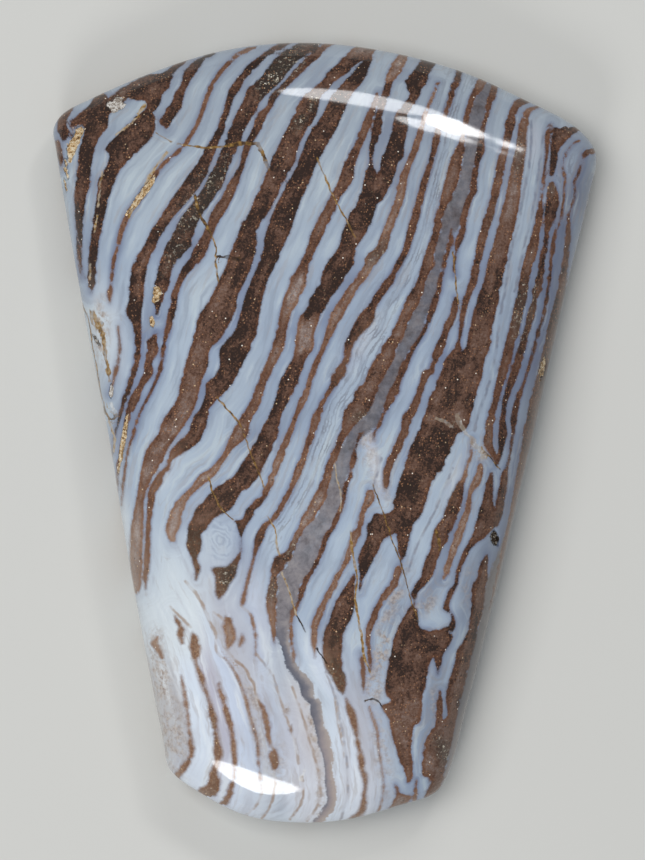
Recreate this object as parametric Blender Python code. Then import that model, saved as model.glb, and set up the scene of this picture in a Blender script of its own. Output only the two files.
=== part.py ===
"""Palo verde agate cabochon.

One stone, sawn from banded rough and ground by hand: a lapped flat back, a short wall (the girdle)
and a low polished dome over a free-form outline, which tapers from a broad arched end to a narrow
blunt one. Where hollows in the rough came out at the polished surface it has small open pits.

Frame: metres, flat back on z = 0, +Z through the top of the dome, +Y towards the broad end, and the
origin under the middle of the stone's bounding box.
"""

import math

import bmesh
import bpy
from mathutils import Matrix, Vector
from mathutils.bvhtree import BVHTree

MM = 0.001

# Outline seen from above, in millimetres, clockwise from the left corner of the broad end
OUTLINE = (
    (-16.25, 18.20), (-15.70, 19.10), (-14.00, 20.02), (-10.00, 21.72), (-6.00, 22.92),
    (-1.60, 23.37), (3.00, 22.97), (8.00, 21.70), (12.00, 19.92), (15.00, 18.30),
    (16.18, 16.75), (15.80, 14.30), (14.50, 9.05), (13.15, 3.10), (11.60, -3.70),
    (9.95, -10.60), (8.45, -16.40), (7.35, -20.30), (6.60, -21.45), (4.40, -22.25),
    (1.30, -23.08), (-1.60, -23.27), (-4.70, -22.85), (-7.85, -21.25), (-9.30, -20.05),
    (-9.72, -18.20), (-10.75, -13.00), (-11.90, -6.70), (-12.95, -0.20), (-14.25, 6.30),
    (-15.40, 12.70), (-16.10, 17.00),
)
STEPS_PER_SPAN = 3

# Heights and shares of the section, from the dome's top to the flat back
THICKNESS = 7.5
GIRDLE = 2.1
DOME_SQUARENESS = 2.6
DOME_RINGS = 26
WALL_AND_BACK = ((0.992, 0.55), (0.982, 0.16), (0.964, 0.0), (0.62, 0.0), (0.28, 0.0))

# The dome's level lines run parallel to the outline at the girdle and turn into this ellipse inwards
CORE_CENTRE = (-0.2, 1.2)
CORE_HALF_WIDTH = 14.0
CORE_HALF_LENGTH = 22.0
CORE_REACH = 2.6

# Open pits: name, middle, length, width, depth in millimetres, and the lean of the long axis from
# +Y towards +X in degrees
PITS = (
    ("left_corner_vug", (-14.95, 17.30), 3.1, 0.55, 0.34, 21.0),
    ("left_corner_crack", (-15.45, 15.20), 1.6, 0.26, 0.20, 3.0),
    ("sugar_vug", (-12.50, 19.60), 1.3, 0.85, 0.26, 58.0),
    ("upper_gold_vug", (-10.90, 14.20), 2.9, 0.42, 0.28, 37.0),
    ("left_gold_vug", (-10.02, 8.25), 1.1, 0.52, 0.36, 8.0),
    ("left_gold_vug_low", (-10.27, 6.62), 0.8, 0.30, 0.26, -6.0),
    ("left_edge_crack", (-13.62, 5.55), 0.9, 0.22, 0.24, -33.0),
    ("left_edge_vug", (-12.74, 2.55), 1.1, 0.26, 0.22, 2.0),
    ("lower_gold_vug", (-12.05, -0.60), 3.6, 0.30, 0.24, 10.0),
    ("right_edge_vug", (12.96, 3.85), 1.3, 0.34, 0.24, 10.0),
    ("right_eye_vug", (10.08, -6.20), 0.95, 0.52, 0.42, -12.0),
)
PIT_SEGMENTS = 12
PIT_RINGS = 8


def clear_scene():
    for item in list(bpy.data.objects):
        bpy.data.objects.remove(item, do_unlink=True)


def smooth_loop(points, steps):
    """A closed centripetal Catmull-Rom curve through the points, with this many steps a span."""
    points = [Vector(point) for point in points]
    count = len(points)
    loop = []
    for index in range(count):
        before, start, end, after = (points[(index + offset) % count] for offset in (-1, 0, 1, 2))
        knot_before = math.sqrt((start - before).length)
        knot = math.sqrt((end - start).length)
        knot_after = math.sqrt((after - end).length)
        chord = (end - start) / knot
        leave = knot * ((start - before) / knot_before - (end - before) / (knot_before + knot) + chord)
        arrive = knot * (chord - (after - start) / (knot + knot_after) + (after - end) / knot_after)
        for step in range(steps):
            t = step / steps
            loop.append(start * (1 - 3 * t * t + 2 * t ** 3) + leave * (t - 2 * t * t + t ** 3)
                        + end * (3 * t * t - 2 * t ** 3) + arrive * (t ** 3 - t * t))
    return loop


def centred(loop):
    """The loop moved so that the middle of its box is the origin, and the move that did it."""
    lows = [min(point[axis] for point in loop) for axis in (0, 1)]
    highs = [max(point[axis] for point in loop) for axis in (0, 1)]
    middle = Vector(((lows[0] + highs[0]) / 2, (lows[1] + highs[1]) / 2))
    return [point - middle for point in loop], middle


def section():
    """One (share of the way from the middle to the outline, height) pair for each ring."""
    rings = []
    for ring in range(DOME_RINGS + 1):
        turn = math.radians(90.0) * ring / DOME_RINGS
        share = math.sin(turn) ** (2.0 / DOME_SQUARENESS)
        rings.append((share, GIRDLE + (THICKNESS - GIRDLE) * math.cos(turn)))
    return rings + list(WALL_AND_BACK) + [(0.0, 0.0)]


def level_line(rim, share):
    """Where the line from the middle to this point of the outline crosses the ring of this share."""
    centre = Vector(CORE_CENTRE)
    reach = rim - centre
    bearing = reach.normalized()
    core = bearing / math.hypot(bearing.x / CORE_HALF_WIDTH, bearing.y / CORE_HALF_LENGTH)
    outer = share ** CORE_REACH
    return centre + share * (outer * reach + (1.0 - outer) * core)


def shape_stone(rim):
    """A UV sphere whose meridians end on the outline and whose rings follow the section."""
    rings = section()
    last = len(rings) - 1
    segments = len(rim)
    stone = bmesh.new()
    bmesh.ops.create_uvsphere(stone, u_segments=segments, v_segments=last, radius=1.0)
    for vert in stone.verts:
        ring = round(math.acos(max(-1.0, min(1.0, vert.co.z))) / math.pi * last)
        meridian = round(math.atan2(vert.co.y, vert.co.x) / math.tau * segments) % segments
        share, height = rings[ring]
        place = level_line(rim[-meridian % segments], share)
        vert.co = Vector((place.x, place.y, height)) * MM
    bmesh.ops.recalc_face_normals(stone, faces=stone.faces)
    return stone


def agate_material():
    material = bpy.data.materials.new("polished_agate")
    material.use_nodes = True
    shader = material.node_tree.nodes["Principled BSDF"]
    shader.inputs["Base Color"].default_value = (0.30, 0.26, 0.27, 1.0)
    shader.inputs["Roughness"].default_value = 0.12
    shader.inputs["Metallic"].default_value = 0.0
    return material


def cut_pit(pit, surface, middle, material, collection):
    """An ellipsoid half sunk in the dome, with its long axis along the surface."""
    name, place, length, width, depth, lean = pit
    place = (Vector(place) - middle) * MM
    above = Vector((place.x, place.y, 2.0 * THICKNESS * MM))
    spot, normal, _, _ = surface.ray_cast(above, Vector((0.0, 0.0, -1.0)))
    along = Vector((math.sin(math.radians(lean)), math.cos(math.radians(lean)), 0.0))
    along = (along - along.dot(normal) * normal).normalized()
    across = along.cross(normal)
    mesh = bpy.data.meshes.new(name)
    cutter = bmesh.new()
    bmesh.ops.create_uvsphere(cutter, u_segments=PIT_SEGMENTS, v_segments=PIT_RINGS, radius=1.0)
    sizes = Matrix.Diagonal((width * MM / 2, length * MM / 2, depth * MM, 1.0))
    turn = Matrix((across, along, normal)).transposed().to_4x4()
    bmesh.ops.transform(cutter, matrix=turn @ sizes, verts=cutter.verts)
    cutter.to_mesh(mesh)
    cutter.free()
    mesh.materials.append(material)
    hole = bpy.data.objects.new(name, mesh)
    hole.location = spot
    hole.hide_render = True
    hole.display_type = "WIRE"
    collection.objects.link(hole)


def build():
    clear_scene()
    parts = bpy.data.collections.new("palo_verde_agate_cabochon")
    cutters = bpy.data.collections.new("cutters")
    for collection in (parts, cutters):
        bpy.context.scene.collection.children.link(collection)
    material = agate_material()

    rim, middle = centred(smooth_loop(OUTLINE, STEPS_PER_SPAN))
    stone = shape_stone(rim)
    surface = BVHTree.FromBMesh(stone)
    mesh = bpy.data.meshes.new("cabochon")
    stone.to_mesh(mesh)
    stone.free()
    mesh.materials.append(material)
    mesh.shade_smooth()
    mesh.set_sharp_from_angle(angle=math.radians(40.0))
    cabochon = bpy.data.objects.new("cabochon", mesh)
    parts.objects.link(cabochon)

    for pit in PITS:
        cut_pit(pit, surface, middle, material, cutters)
    boolean = cabochon.modifiers.new("open_pits", "BOOLEAN")
    boolean.operation = "DIFFERENCE"
    boolean.operand_type = "COLLECTION"
    boolean.collection = cutters
    boolean.solver = "EXACT"


build()
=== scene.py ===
"""Palo verde agate cabochon: the finished look of the stone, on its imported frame.

The stone is one closed mesh. Its front is a fine grid over the outline, raised to the dome that the
frame has, then come the rounded girdle and the lapped flat back. The agate's layers are drawn as
bands between two smooth edges. For every vertex the script works out how far it is from the edges
of the nearest band, and the material turns those distances into layers of colour.

Places, widths and distances in the tables below are millimetres on the stone, seen from above: +X
to the right and +Y towards the broad end.
"""

import math

import bpy
import numpy as np
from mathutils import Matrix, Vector, noise
from mathutils.kdtree import KDTree


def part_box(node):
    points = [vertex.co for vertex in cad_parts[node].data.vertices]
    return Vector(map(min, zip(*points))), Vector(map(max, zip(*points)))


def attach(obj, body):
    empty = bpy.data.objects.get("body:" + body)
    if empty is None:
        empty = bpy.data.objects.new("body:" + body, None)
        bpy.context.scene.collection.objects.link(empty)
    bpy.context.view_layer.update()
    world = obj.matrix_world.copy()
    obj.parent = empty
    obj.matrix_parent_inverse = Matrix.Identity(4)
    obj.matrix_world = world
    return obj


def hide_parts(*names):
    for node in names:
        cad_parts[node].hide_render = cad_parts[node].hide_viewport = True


MM = 0.001

# The dome, as the frame has it
GIRDLE = 2.1
DOME_SQUARENESS = 2.6
CORE_CENTRE = np.array((-0.2, 1.2))
CORE_HALF_WIDTH = 14.0
CORE_HALF_LENGTH = 22.0
CORE_REACH = 2.6

# The fine mesh: cells across and along the front, the steps in which a cell's side is measured, how far out
# that grid goes, the rings from there to the girdle, the rings down the wall to the flat back, and the size
# of the back's grid within the last ring
CELLS_ACROSS = 200
CELLS_ALONG = 320
STEPS_IN_CELL = 40
GRID_SHARE = 0.965
RIM_SHARES = (0.978, 0.988, 0.995, 0.999)
WALL = ((1.0, 2.1), (0.9995, 1.55), (0.997, 1.0), (0.992, 0.55), (0.984, 0.2), (0.973, 0.04), (0.962, 0.0))
BACK_SHARE = 0.985

# Corners of the outline, where the grid's corners go: low left, low right, high right, high left
CORNERS = ((-9.3, -20.05), (6.9, -21.2), (15.9, 17.4), (-16.0, 18.5))

# Hand polishing leaves the dome very slightly uneven. Low waves and a finer ripple fade out near the rim,
# and the crown is worn down by a share of their height
WAVE_HEIGHT = 0.035
WAVE_LENGTH = 7.0
RIPPLE_SHARE = 0.12
RIPPLE_LENGTH = 2.1
RIM_FADE = 0.15
CROWN_WEAR = 0.6
CROWN_RISE = 3.0

# The middle of the stone's box, in the millimetres of the tables
DRAWN_MIDDLE = np.array((-0.02, 0.05))

# How closely the curves through the tables' points are sampled
PATH_SPACING = 0.05
FLOW_SPACING = 0.2

# How far the layers lean as they go down through the stone, for each millimetre of depth
LAYER_LEAN = (0.34, -0.16)

# Brown layers: their depth of colour from 0, pale tan, to 1, nearly black, as one number or as stops
# (y, depth), then rows of y, left edge and right edge down the stone
BROWN = {
    "corner_rim": (0.85, (
        (19.8, -15.3, -14.95), (19.3, -15.85, -15.1), (18.5, -16.0, -15.45), (18.0, -15.95, -15.3),
        (17.3, -15.55, -15.5))),
    "corner_rim_low": (0.7, (
        (17.6, -16.05, -15.95), (17.2, -16.15, -15.75), (16.5, -16.0, -15.6), (15.9, -15.8, -15.75))),
    "corner_dark": (0.95, (
        (20.4, -13.5, -13.2), (20.0, -13.85, -12.95), (19.5, -14.2, -12.88), (19.0, -14.8, -12.87),
        (18.55, -15.1, -12.92), (18.3, -14.4, -12.95), (17.5, -14.5, -13.5), (17.0, -14.64, -13.7),
        (16.0, -14.75, -13.9), (15.0, -14.86, -13.98), (14.0, -14.95, -14.24), (12.0, -14.84, -14.45),
        (10.5, -14.8, -14.48), (9.3, -14.57, -14.53))),
    "corner_branch": (0.9, (
        (18.7, -15.1, -14.6), (18.3, -15.22, -14.7), (18.0, -15.23, -14.93), (17.6, -15.12, -15.08))),
    "second_dark": (0.95, (
        (22.6, -8.5, -7.9), (22.0, -9.1, -8.5), (21.6, -9.6, -8.97), (21.45, -10.6, -9.1),
        (21.0, -11.55, -9.2), (20.5, -12.28, -9.44), (20.0, -12.87, -9.74), (19.85, -10.85, -9.78),
        (19.5, -10.6, -9.92), (19.0, -11.1, -10.2), (18.7, -11.47, -10.1), (18.0, -12.2, -10.14),
        (17.5, -12.65, -10.44), (17.0, -13.05, -10.92), (16.5, -12.87, -11.4), (16.0, -12.95, -11.9),
        (15.5, -13.24, -12.28), (15.0, -13.5, -12.5), (14.0, -13.6, -12.87), (13.0, -13.78, -13.1),
        (12.0, -13.92, -13.33), (10.5, -14.1, -13.59), (9.0, -14.13, -13.7), (8.4, -13.97, -13.92))),
    "sugar_branch": (0.8, (
        (20.3, -12.6, -11.6), (20.0, -12.87, -11.8), (19.5, -12.98, -12.3), (19.1, -12.95, -12.8))),
    "third_dark": (0.95, (
        (22.9, -6.9, -6.4), (22.6, -7.2, -6.7), (22.2, -7.86, -7.27), (21.5, -8.45, -7.67),
        (21.0, -8.56, -8.04), (20.0, -9.04, -8.45), (19.5, -9.33, -8.52), (19.0, -9.63, -8.85),
        (18.7, -9.89, -9.04), (18.4, -9.78, -9.2), (18.1, -9.45, -9.38))),
    "thin_mauve": (0.55, (
        (23.1, -4.5, -3.8), (22.7, -5.26, -4.8), (22.0, -6.0, -5.65), (21.0, -6.75, -6.46),
        (20.0, -7.2, -6.9), (19.0, -7.49, -7.23), (18.0, -7.97, -7.67), (17.0, -8.67, -8.37),
        (16.0, -9.78, -9.48), (15.0, -10.59, -10.18), (14.0, -11.25, -10.8), (13.0, -11.9, -11.54),
        (12.0, -12.26, -11.93), (11.0, -12.48, -12.26), (10.0, -12.74, -12.48), (9.0, -12.81, -12.65),
        (8.3, -12.98, -12.65), (7.7, -12.85, -12.8))),
    "left_thread": (0.6, (
        (6.4, -12.38, -12.3), (5.1, -12.31, -12.12), (4.0, -12.48, -12.3), (3.0, -12.71, -12.55),
        (2.4, -12.82, -12.76))),
    "fourth_dark": (0.9, (
        (23.5, -2.5, -1.8), (23.0, -3.27, -2.5), (22.5, -3.94, -3.38), (22.0, -4.56, -3.9),
        (21.0, -5.37, -4.82), (20.5, -5.7, -5.04), (20.0, -5.85, -5.4), (19.0, -6.12, -5.72),
        (18.0, -6.5, -6.05), (17.0, -7.08, -6.46), (16.0, -7.67, -6.8), (15.0, -8.37, -7.23),
        (14.0, -9.08, -7.97), (13.0, -9.68, -8.85), (12.0, -10.34, -9.6), (11.0, -10.86, -10.12),
        (10.0, -11.41, -10.53), (9.0, -11.63, -10.71), (8.0, -11.66, -10.79), (7.2, -11.84, -10.9),
        (6.5, -11.46, -10.92), (5.0, -11.3, -10.93), (4.0, -11.45, -11.08), (3.0, -11.75, -11.41),
        (2.0, -12.08, -11.78), (1.0, -12.33, -12.13), (0.0, -12.56, -12.44), (-1.5, -12.8, -12.72))),
    "olive_dark": (0.97, (
        (23.5, -1.4, -0.2), (23.0, -2.1, -0.4), (22.5, -2.83, -1.28), (22.0, -3.24, -1.83),
        (21.0, -4.08, -2.6), (20.5, -4.64, -3.1), (20.0, -4.78, -3.64), (19.0, -5.3, -4.23),
        (18.0, -5.7, -4.78), (17.0, -6.1, -5.15), (16.0, -6.53, -5.68), (15.0, -7.05, -5.98),
        (14.0, -7.64, -6.6), (13.0, -8.45, -7.3), (12.0, -8.98, -7.73), (11.0, -9.53, -8.06),
        (10.5, -9.68, -8.54), (10.0, -9.9, -8.98), (9.0, -10.09, -9.24), (8.0, -10.2, -9.6),
        (7.5, -10.1, -9.8), (7.0, -10.06, -9.92))),
    "olive_tail": (0.72, (
        (6.0, -10.1, -9.95), (5.5, -10.56, -10.0), (5.0, -10.6, -9.94), (4.3, -10.7, -10.23),
        (3.5, -10.82, -10.23), (3.0, -11.08, -10.6), (2.5, -11.38, -10.9), (2.0, -11.63, -11.01),
        (1.5, -11.82, -11.3), (1.0, -11.9, -11.55), (-1.0, -12.23, -12.0), (-2.0, -12.45, -12.23),
        (-3.8, -12.5, -12.45))),
    "thin_brown": (((23.0, 0.6), (21.0, 0.85), (3.0, 0.8), (0.0, 0.5)), (
        (23.4, 0.1, 0.7), (22.9, -0.54, 0.0), (22.5, -0.99, -0.32), (22.0, -1.54, -0.84),
        (21.0, -2.39, -1.87), (20.0, -3.35, -2.83), (19.5, -3.42, -3.12), (19.0, -3.97, -3.42),
        (18.0, -4.38, -3.86), (17.0, -4.86, -4.42), (16.0, -5.08, -4.75), (15.0, -5.65, -5.08),
        (14.0, -6.16, -5.48), (13.0, -6.83, -6.0), (12.5, -6.95, -6.35), (11.5, -7.47, -6.77),
        (10.5, -8.02, -7.17), (9.5, -8.65, -8.1), (8.5, -9.02, -8.65), (7.5, -9.24, -8.83),
        (6.5, -9.46, -9.05), (5.5, -9.63, -9.39), (4.0, -9.86, -9.6), (3.0, -10.2, -10.0),
        (2.0, -10.7, -10.5), (1.0, -11.18, -11.0), (0.0, -11.5, -11.3), (-1.0, -11.79, -11.66),
        (-2.0, -11.97, -11.83), (-3.0, -12.12, -11.94), (-4.3, -12.2, -12.15))),
    "wide_brown": (((23.0, 0.5), (22.0, 0.85), (9.0, 0.85), (3.0, 0.7), (-1.0, 0.58), (-6.0, 0.3)), (
        (23.4, 2.2, 3.6), (23.0, 1.67, 3.07), (22.5, 1.15, 2.77), (22.0, 0.67, 1.8), (21.5, 0.12, 1.37),
        (21.0, -0.18, 0.63), (20.5, -0.75, 0.2), (20.0, -1.36, -0.25), (19.0, -1.83, -0.5),
        (18.0, -2.35, -1.1), (17.0, -2.83, -1.58), (16.0, -3.27, -1.83), (15.0, -3.68, -2.46),
        (14.0, -4.16, -2.9), (13.0, -4.56, -3.42), (12.5, -4.92, -3.85), (12.0, -5.07, -4.03),
        (11.0, -5.5, -4.06), (10.0, -5.88, -4.32), (9.0, -6.33, -4.76), (8.0, -6.84, -5.22),
        (7.5, -7.17, -5.25), (7.0, -7.47, -5.42), (6.0, -7.73, -5.96), (5.5, -7.84, -6.29),
        (5.0, -8.02, -6.84), (4.0, -8.32, -6.95), (3.0, -8.58, -7.36), (2.0, -8.8, -7.58),
        (1.0, -9.5, -8.0), (0.0, -9.95, -8.69), (-1.0, -10.61, -9.36), (-2.0, -10.9, -9.87),
        (-3.0, -11.09, -10.46), (-4.0, -11.27, -10.76), (-5.0, -11.46, -10.79), (-6.0, -11.6, -10.83),
        (-7.0, -11.66, -10.87), (-8.0, -11.64, -10.87), (-9.0, -11.53, -10.95), (-9.6, -11.4, -11.2))),
    "reddish_brown": (((4.0, 0.95), (1.0, 0.85), (-2.0, 0.62), (-5.0, 0.5)), (
        (22.4, 2.5, 2.9), (22.0, 2.04, 2.66), (21.5, 1.67, 2.55), (21.0, 1.15, 2.26), (20.0, 0.35, 1.5),
        (19.0, -0.14, 1.08), (18.0, -0.8, 0.63), (17.0, -1.28, 0.05), (16.0, -1.65, -0.5),
        (15.0, -2.13, -0.9), (14.0, -2.68, -1.36), (13.0, -3.13, -1.72), (12.0, -3.51, -2.04),
        (11.0, -3.69, -2.51), (10.0, -3.99, -2.92), (9.0, -4.43, -3.44), (8.0, -4.8, -3.69),
        (7.0, -5.06, -3.88), (6.0, -5.42, -4.06), (5.5, -5.88, -4.28), (5.0, -6.25, -4.43),
        (4.0, -6.25, -4.95), (3.5, -6.5, -5.17), (3.0, -7.0, -5.44), (2.5, -7.1, -5.88),
        (2.0, -7.17, -6.36), (1.5, -7.36, -6.84), (1.0, -7.77, -6.9), (0.0, -8.18, -7.22),
        (-0.5, -8.77, -7.51), (-1.0, -9.13, -8.18), (-1.5, -9.36, -8.99), (-2.0, -9.54, -9.17),
        (-2.5, -10.02, -9.54), (-3.0, -10.31, -9.72), (-3.5, -10.5, -10.06), (-4.0, -10.57, -10.13),
        (-5.0, -10.62, -10.31), (-6.0, -10.68, -10.39), (-7.0, -10.76, -10.39), (-8.0, -10.82, -10.46),
        (-8.7, -10.84, -10.58), (-9.3, -10.75, -10.68))),
    "ninth": (((9.7, 0.7), (9.0, 0.35), (7.7, 0.35), (7.0, 0.62), (-1.0, 0.6), (-2.5, 0.35), (-6.0, 0.2)), (
        (20.3, 3.05, 3.2), (19.0, 2.48, 2.96), (18.0, 2.07, 2.59), (17.0, 1.63, 2.18), (16.0, 1.1, 1.8),
        (15.0, 0.78, 1.63), (14.0, 0.27, 0.93), (13.0, -0.25, 0.45), (12.0, -0.78, -0.01),
        (11.0, -1.08, -0.49), (10.0, -1.56, -0.93), (9.0, -2.11, -1.15), (8.5, -2.26, -1.22),
        (8.0, -2.44, -1.52), (7.0, -2.7, -2.04), (6.0, -2.88, -2.26), (5.0, -3.21, -2.48),
        (4.0, -3.58, -2.99), (3.0, -3.99, -3.44), (2.0, -4.39, -3.77), (1.5, -4.69, -3.95),
        (1.0, -5.0, -4.3), (0.5, -5.34, -4.5), (0.0, -5.56, -4.49), (-0.5, -5.74, -5.0),
        (-1.0, -5.96, -5.52), (-2.0, -6.74, -6.19), (-2.5, -7.51, -6.55), (-3.0, -7.81, -7.22),
        (-4.0, -8.8, -8.18), (-4.5, -9.1, -8.4), (-5.0, -9.32, -8.51), (-5.5, -9.47, -8.62),
        (-6.0, -9.43, -8.84), (-6.4, -9.2, -8.9))),
    "tenth_dark": (((7.2, 0.95), (6.5, 0.4), (5.0, 0.4), (4.5, 0.92)), (
        (21.1, 3.7, 4.1), (20.0, 3.3, 3.75), (19.0, 3.03, 3.44), (18.0, 2.77, 3.4), (17.0, 2.66, 2.96),
        (16.0, 2.6, 2.85), (15.5, 2.37, 3.07), (15.2, 2.3, 3.6), (15.0, 2.3, 4.0), (14.5, 2.18, 3.73),
        (14.0, 1.96, 3.5), (13.5, 1.8, 3.03), (13.0, 1.45, 2.9), (12.0, 1.06, 2.5), (11.0, 0.77, 1.87),
        (10.5, 0.4, 1.76), (10.0, 0.03, 1.65), (9.0, -0.3, 1.06), (8.0, -0.86, 0.32), (7.5, -1.04, 0.07),
        (7.0, -1.45, -0.27), (6.0, -1.7, -0.6), (5.0, -1.81, -0.71), (4.5, -1.89, -1.08),
        (4.0, -2.18, -1.26), (3.0, -2.7, -1.63), (2.0, -2.96, -2.11), (1.0, -3.38, -2.6),
        (0.0, -3.86, -2.79), (-1.0, -4.42, -3.2), (-2.0, -5.08, -3.64), (-2.5, -5.41, -3.9),
        (-3.0, -6.15, -4.34), (-3.5, -6.78, -4.93), (-4.0, -7.18, -5.3), (-4.5, -7.7, -5.6),
        (-5.0, -7.88, -6.55), (-5.5, -8.1, -6.92), (-6.0, -8.18, -7.33), (-6.7, -8.21, -7.32),
        (-7.0, -8.14, -7.4), (-7.4, -7.95, -7.6), (-8.0, -7.77, -7.4), (-8.7, -7.7, -7.62))),
    "tenth_branch": (0.95, (
        (22.7, 5.9, 6.8), (22.0, 5.52, 6.55), (21.5, 5.15, 6.25), (21.0, 4.76, 6.07), (20.7, 4.85, 5.9),
        (20.2, 5.0, 5.65), (19.5, 4.6, 5.3), (19.0, 4.17, 4.95), (18.0, 3.95, 4.9), (17.0, 3.66, 4.69),
        (16.5, 3.44, 4.69), (16.0, 3.29, 4.3), (15.5, 3.18, 4.17), (15.0, 2.9, 4.0), (14.6, 2.9, 3.75))),
    "top_tan": (0.35, (
        (22.9, 4.6, 5.1), (22.0, 3.95, 4.76), (21.5, 3.73, 4.47), (21.0, 3.6, 4.1), (20.8, 3.8, 3.9))),
    "eleventh": (((-3.4, 0.45), (-4.2, 0.9)), (
        (20.9, 6.6, 6.8), (20.3, 6.4, 6.6), (19.0, 5.85, 6.1), (18.5, 5.7, 5.95), (17.5, 5.33, 5.74),
        (16.5, 4.98, 5.39), (15.5, 4.54, 4.98), (14.5, 4.28, 4.8), (13.5, 3.99, 4.54), (12.5, 3.6, 4.15),
        (11.5, 3.2, 3.8), (11.0, 2.98, 3.68), (10.5, 2.39, 3.35), (10.0, 2.31, 2.98), (9.0, 1.61, 2.24),
        (8.0, 0.91, 1.61), (7.0, 0.32, 1.06), (6.0, 0.03, 0.51), (5.0, -0.3, 0.03), (4.0, -0.78, -0.41),
        (3.0, -1.11, -0.78), (2.0, -1.52, -1.08), (1.0, -1.89, -1.6), (0.0, -2.3, -1.93),
        (-1.0, -2.8, -2.3), (-2.0, -3.12, -2.7), (-3.0, -3.5, -3.13), (-3.7, -3.85, -3.45),
        (-4.0, -4.2, -3.68), (-4.5, -4.67, -4.08), (-5.0, -4.86, -4.34), (-5.2, -5.37, -4.49),
        (-5.5, -5.23, -4.67), (-6.1, -5.02, -4.96), (-7.0, -5.03, -4.97))),
    "eye_foot": (0.95, (
        (-7.0, -5.04, -4.97), (-7.5, -5.41, -5.04), (-7.85, -5.82, -5.17), (-8.0, -6.74, -5.19),
        (-8.5, -6.52, -5.34), (-9.0, -6.52, -5.67), (-9.5, -6.5, -5.95), (-9.85, -6.35, -6.3))),
    "twelfth": (((3.0, 0.8), (1.0, 0.5), (-5.0, 0.55), (-6.3, 0.85), (-7.5, 0.5)), (
        (22.0, 7.95, 8.35), (20.5, 7.47, 7.84), (19.0, 7.0, 7.3), (18.0, 6.5, 6.92), (17.0, 6.33, 6.7),
        (16.0, 6.07, 6.4), (15.0, 5.7, 6.14), (14.0, 5.44, 5.88), (13.0, 5.15, 5.63), (12.0, 4.86, 5.37),
        (11.0, 4.64, 5.04), (10.0, 4.12, 4.56), (9.5, 3.9, 4.23), (9.0, 3.46, 4.08), (8.0, 2.83, 3.35),
        (7.5, 2.46, 3.05), (7.15, 2.1, 2.97), (6.5, 1.72, 2.76), (6.0, 1.47, 2.24), (5.0, 1.1, 1.58),
        (4.5, 1.1, 1.47), (4.0, 0.77, 1.32), (3.5, 0.43, 1.17), (3.0, 0.32, 0.8), (2.0, -0.19, 0.1),
        (1.0, -0.75, -0.24), (0.0, -1.01, -0.57), (-1.0, -1.3, -0.97), (-2.0, -1.75, -1.27),
        (-3.0, -2.08, -1.71), (-4.0, -2.59, -2.26), (-5.0, -3.2, -2.85), (-5.5, -3.79, -3.38),
        (-6.3, -4.2, -3.68), (-7.0, -4.23, -4.01), (-8.0, -4.49, -4.31), (-9.0, -4.75, -4.56),
        (-10.0, -5.0, -4.75), (-10.2, -4.95, -4.85))),
    "twelfth_thread": (0.3, (
        (-10.7, -4.45, -4.4), (-11.0, -4.4, -4.25), (-12.0, -4.21, -4.07), (-13.2, -4.13, -4.1))),
    "thirteenth": ((
        (2.0, 0.7), (-3.2, 0.65), (-4.0, 0.35), (-6.5, 0.4), (-7.4, 0.85), (-8.5, 0.6), (-10.0, 0.45)), (
        (21.3, 9.2, 9.8), (20.5, 8.83, 9.4), (20.0, 8.6, 8.98), (19.0, 8.3, 8.65), (18.0, 8.1, 8.4),
        (17.0, 7.88, 8.3), (16.5, 7.5, 8.24), (16.0, 7.36, 8.17), (15.0, 7.1, 7.95), (14.0, 6.88, 7.5),
        (13.0, 6.55, 7.03), (12.0, 6.35, 6.86), (11.0, 6.05, 6.57), (10.0, 5.72, 6.46), (9.0, 5.41, 5.98),
        (8.5, 5.12, 5.85), (8.0, 4.82, 5.7), (7.0, 4.42, 5.15), (6.0, 3.95, 4.7), (5.0, 3.35, 4.3),
        (4.0, 2.7, 3.85), (3.0, 2.25, 3.3), (2.5, 1.8, 3.1), (2.0, 1.65, 2.9), (1.5, 1.2, 2.7),
        (1.0, 1.05, 2.3), (0.5, 1.0, 1.8), (0.0, 0.85, 1.4), (-1.0, 0.45, 0.9), (-2.0, 0.0, 0.5),
        (-3.0, -0.3, 0.25), (-4.0, -0.85, 0.0), (-4.5, -1.1, -0.3), (-5.0, -1.4, -0.6), (-5.5, -1.55, -1.1),
        (-6.0, -1.85, -1.4), (-7.0, -2.35, -1.85), (-7.3, -2.95, -1.95), (-7.6, -3.1, -2.2),
        (-8.0, -3.2, -2.4), (-8.5, -3.2, -2.85), (-9.0, -3.35, -2.8), (-10.0, -3.5, -2.9),
        (-11.0, -3.35, -2.9), (-12.0, -3.12, -2.95), (-12.4, -3.05, -3.0))),
    "fourteenth": (0.8, (
        (20.9, 10.0, 10.4), (20.0, 9.7, 10.15), (19.5, 9.55, 9.9), (19.0, 9.5, 9.75), (18.0, 9.2, 9.5),
        (17.0, 9.05, 9.5), (16.0, 8.85, 9.2), (15.0, 8.65, 9.05), (14.3, 8.55, 9.0), (14.0, 8.4, 8.8),
        (13.0, 8.1, 8.5), (12.0, 7.95, 8.35), (11.5, 7.75, 8.2), (11.0, 7.7, 7.95), (10.0, 7.6, 7.75),
        (9.4, 7.68, 7.72))),
    "smoke_edge": (0.75, (
        (12.2, 7.5, 7.55), (11.5, 7.3, 7.6), (11.0, 7.2, 7.5), (10.5, 7.05, 7.3), (10.0, 6.95, 7.2),
        (9.0, 6.7, 6.95), (8.5, 6.6, 6.9), (8.0, 6.4, 6.75), (7.1, 6.1, 6.5), (6.0, 5.7, 5.95),
        (5.0, 5.05, 5.35), (4.5, 4.75, 5.1), (4.0, 4.5, 4.95), (3.0, 4.1, 4.5), (2.5, 3.8, 4.4),
        (2.0, 3.6, 4.1), (1.0, 3.3, 3.5), (0.5, 3.1, 3.35), (0.0, 2.85, 3.0), (-0.4, 2.85, 2.88))),
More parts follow.
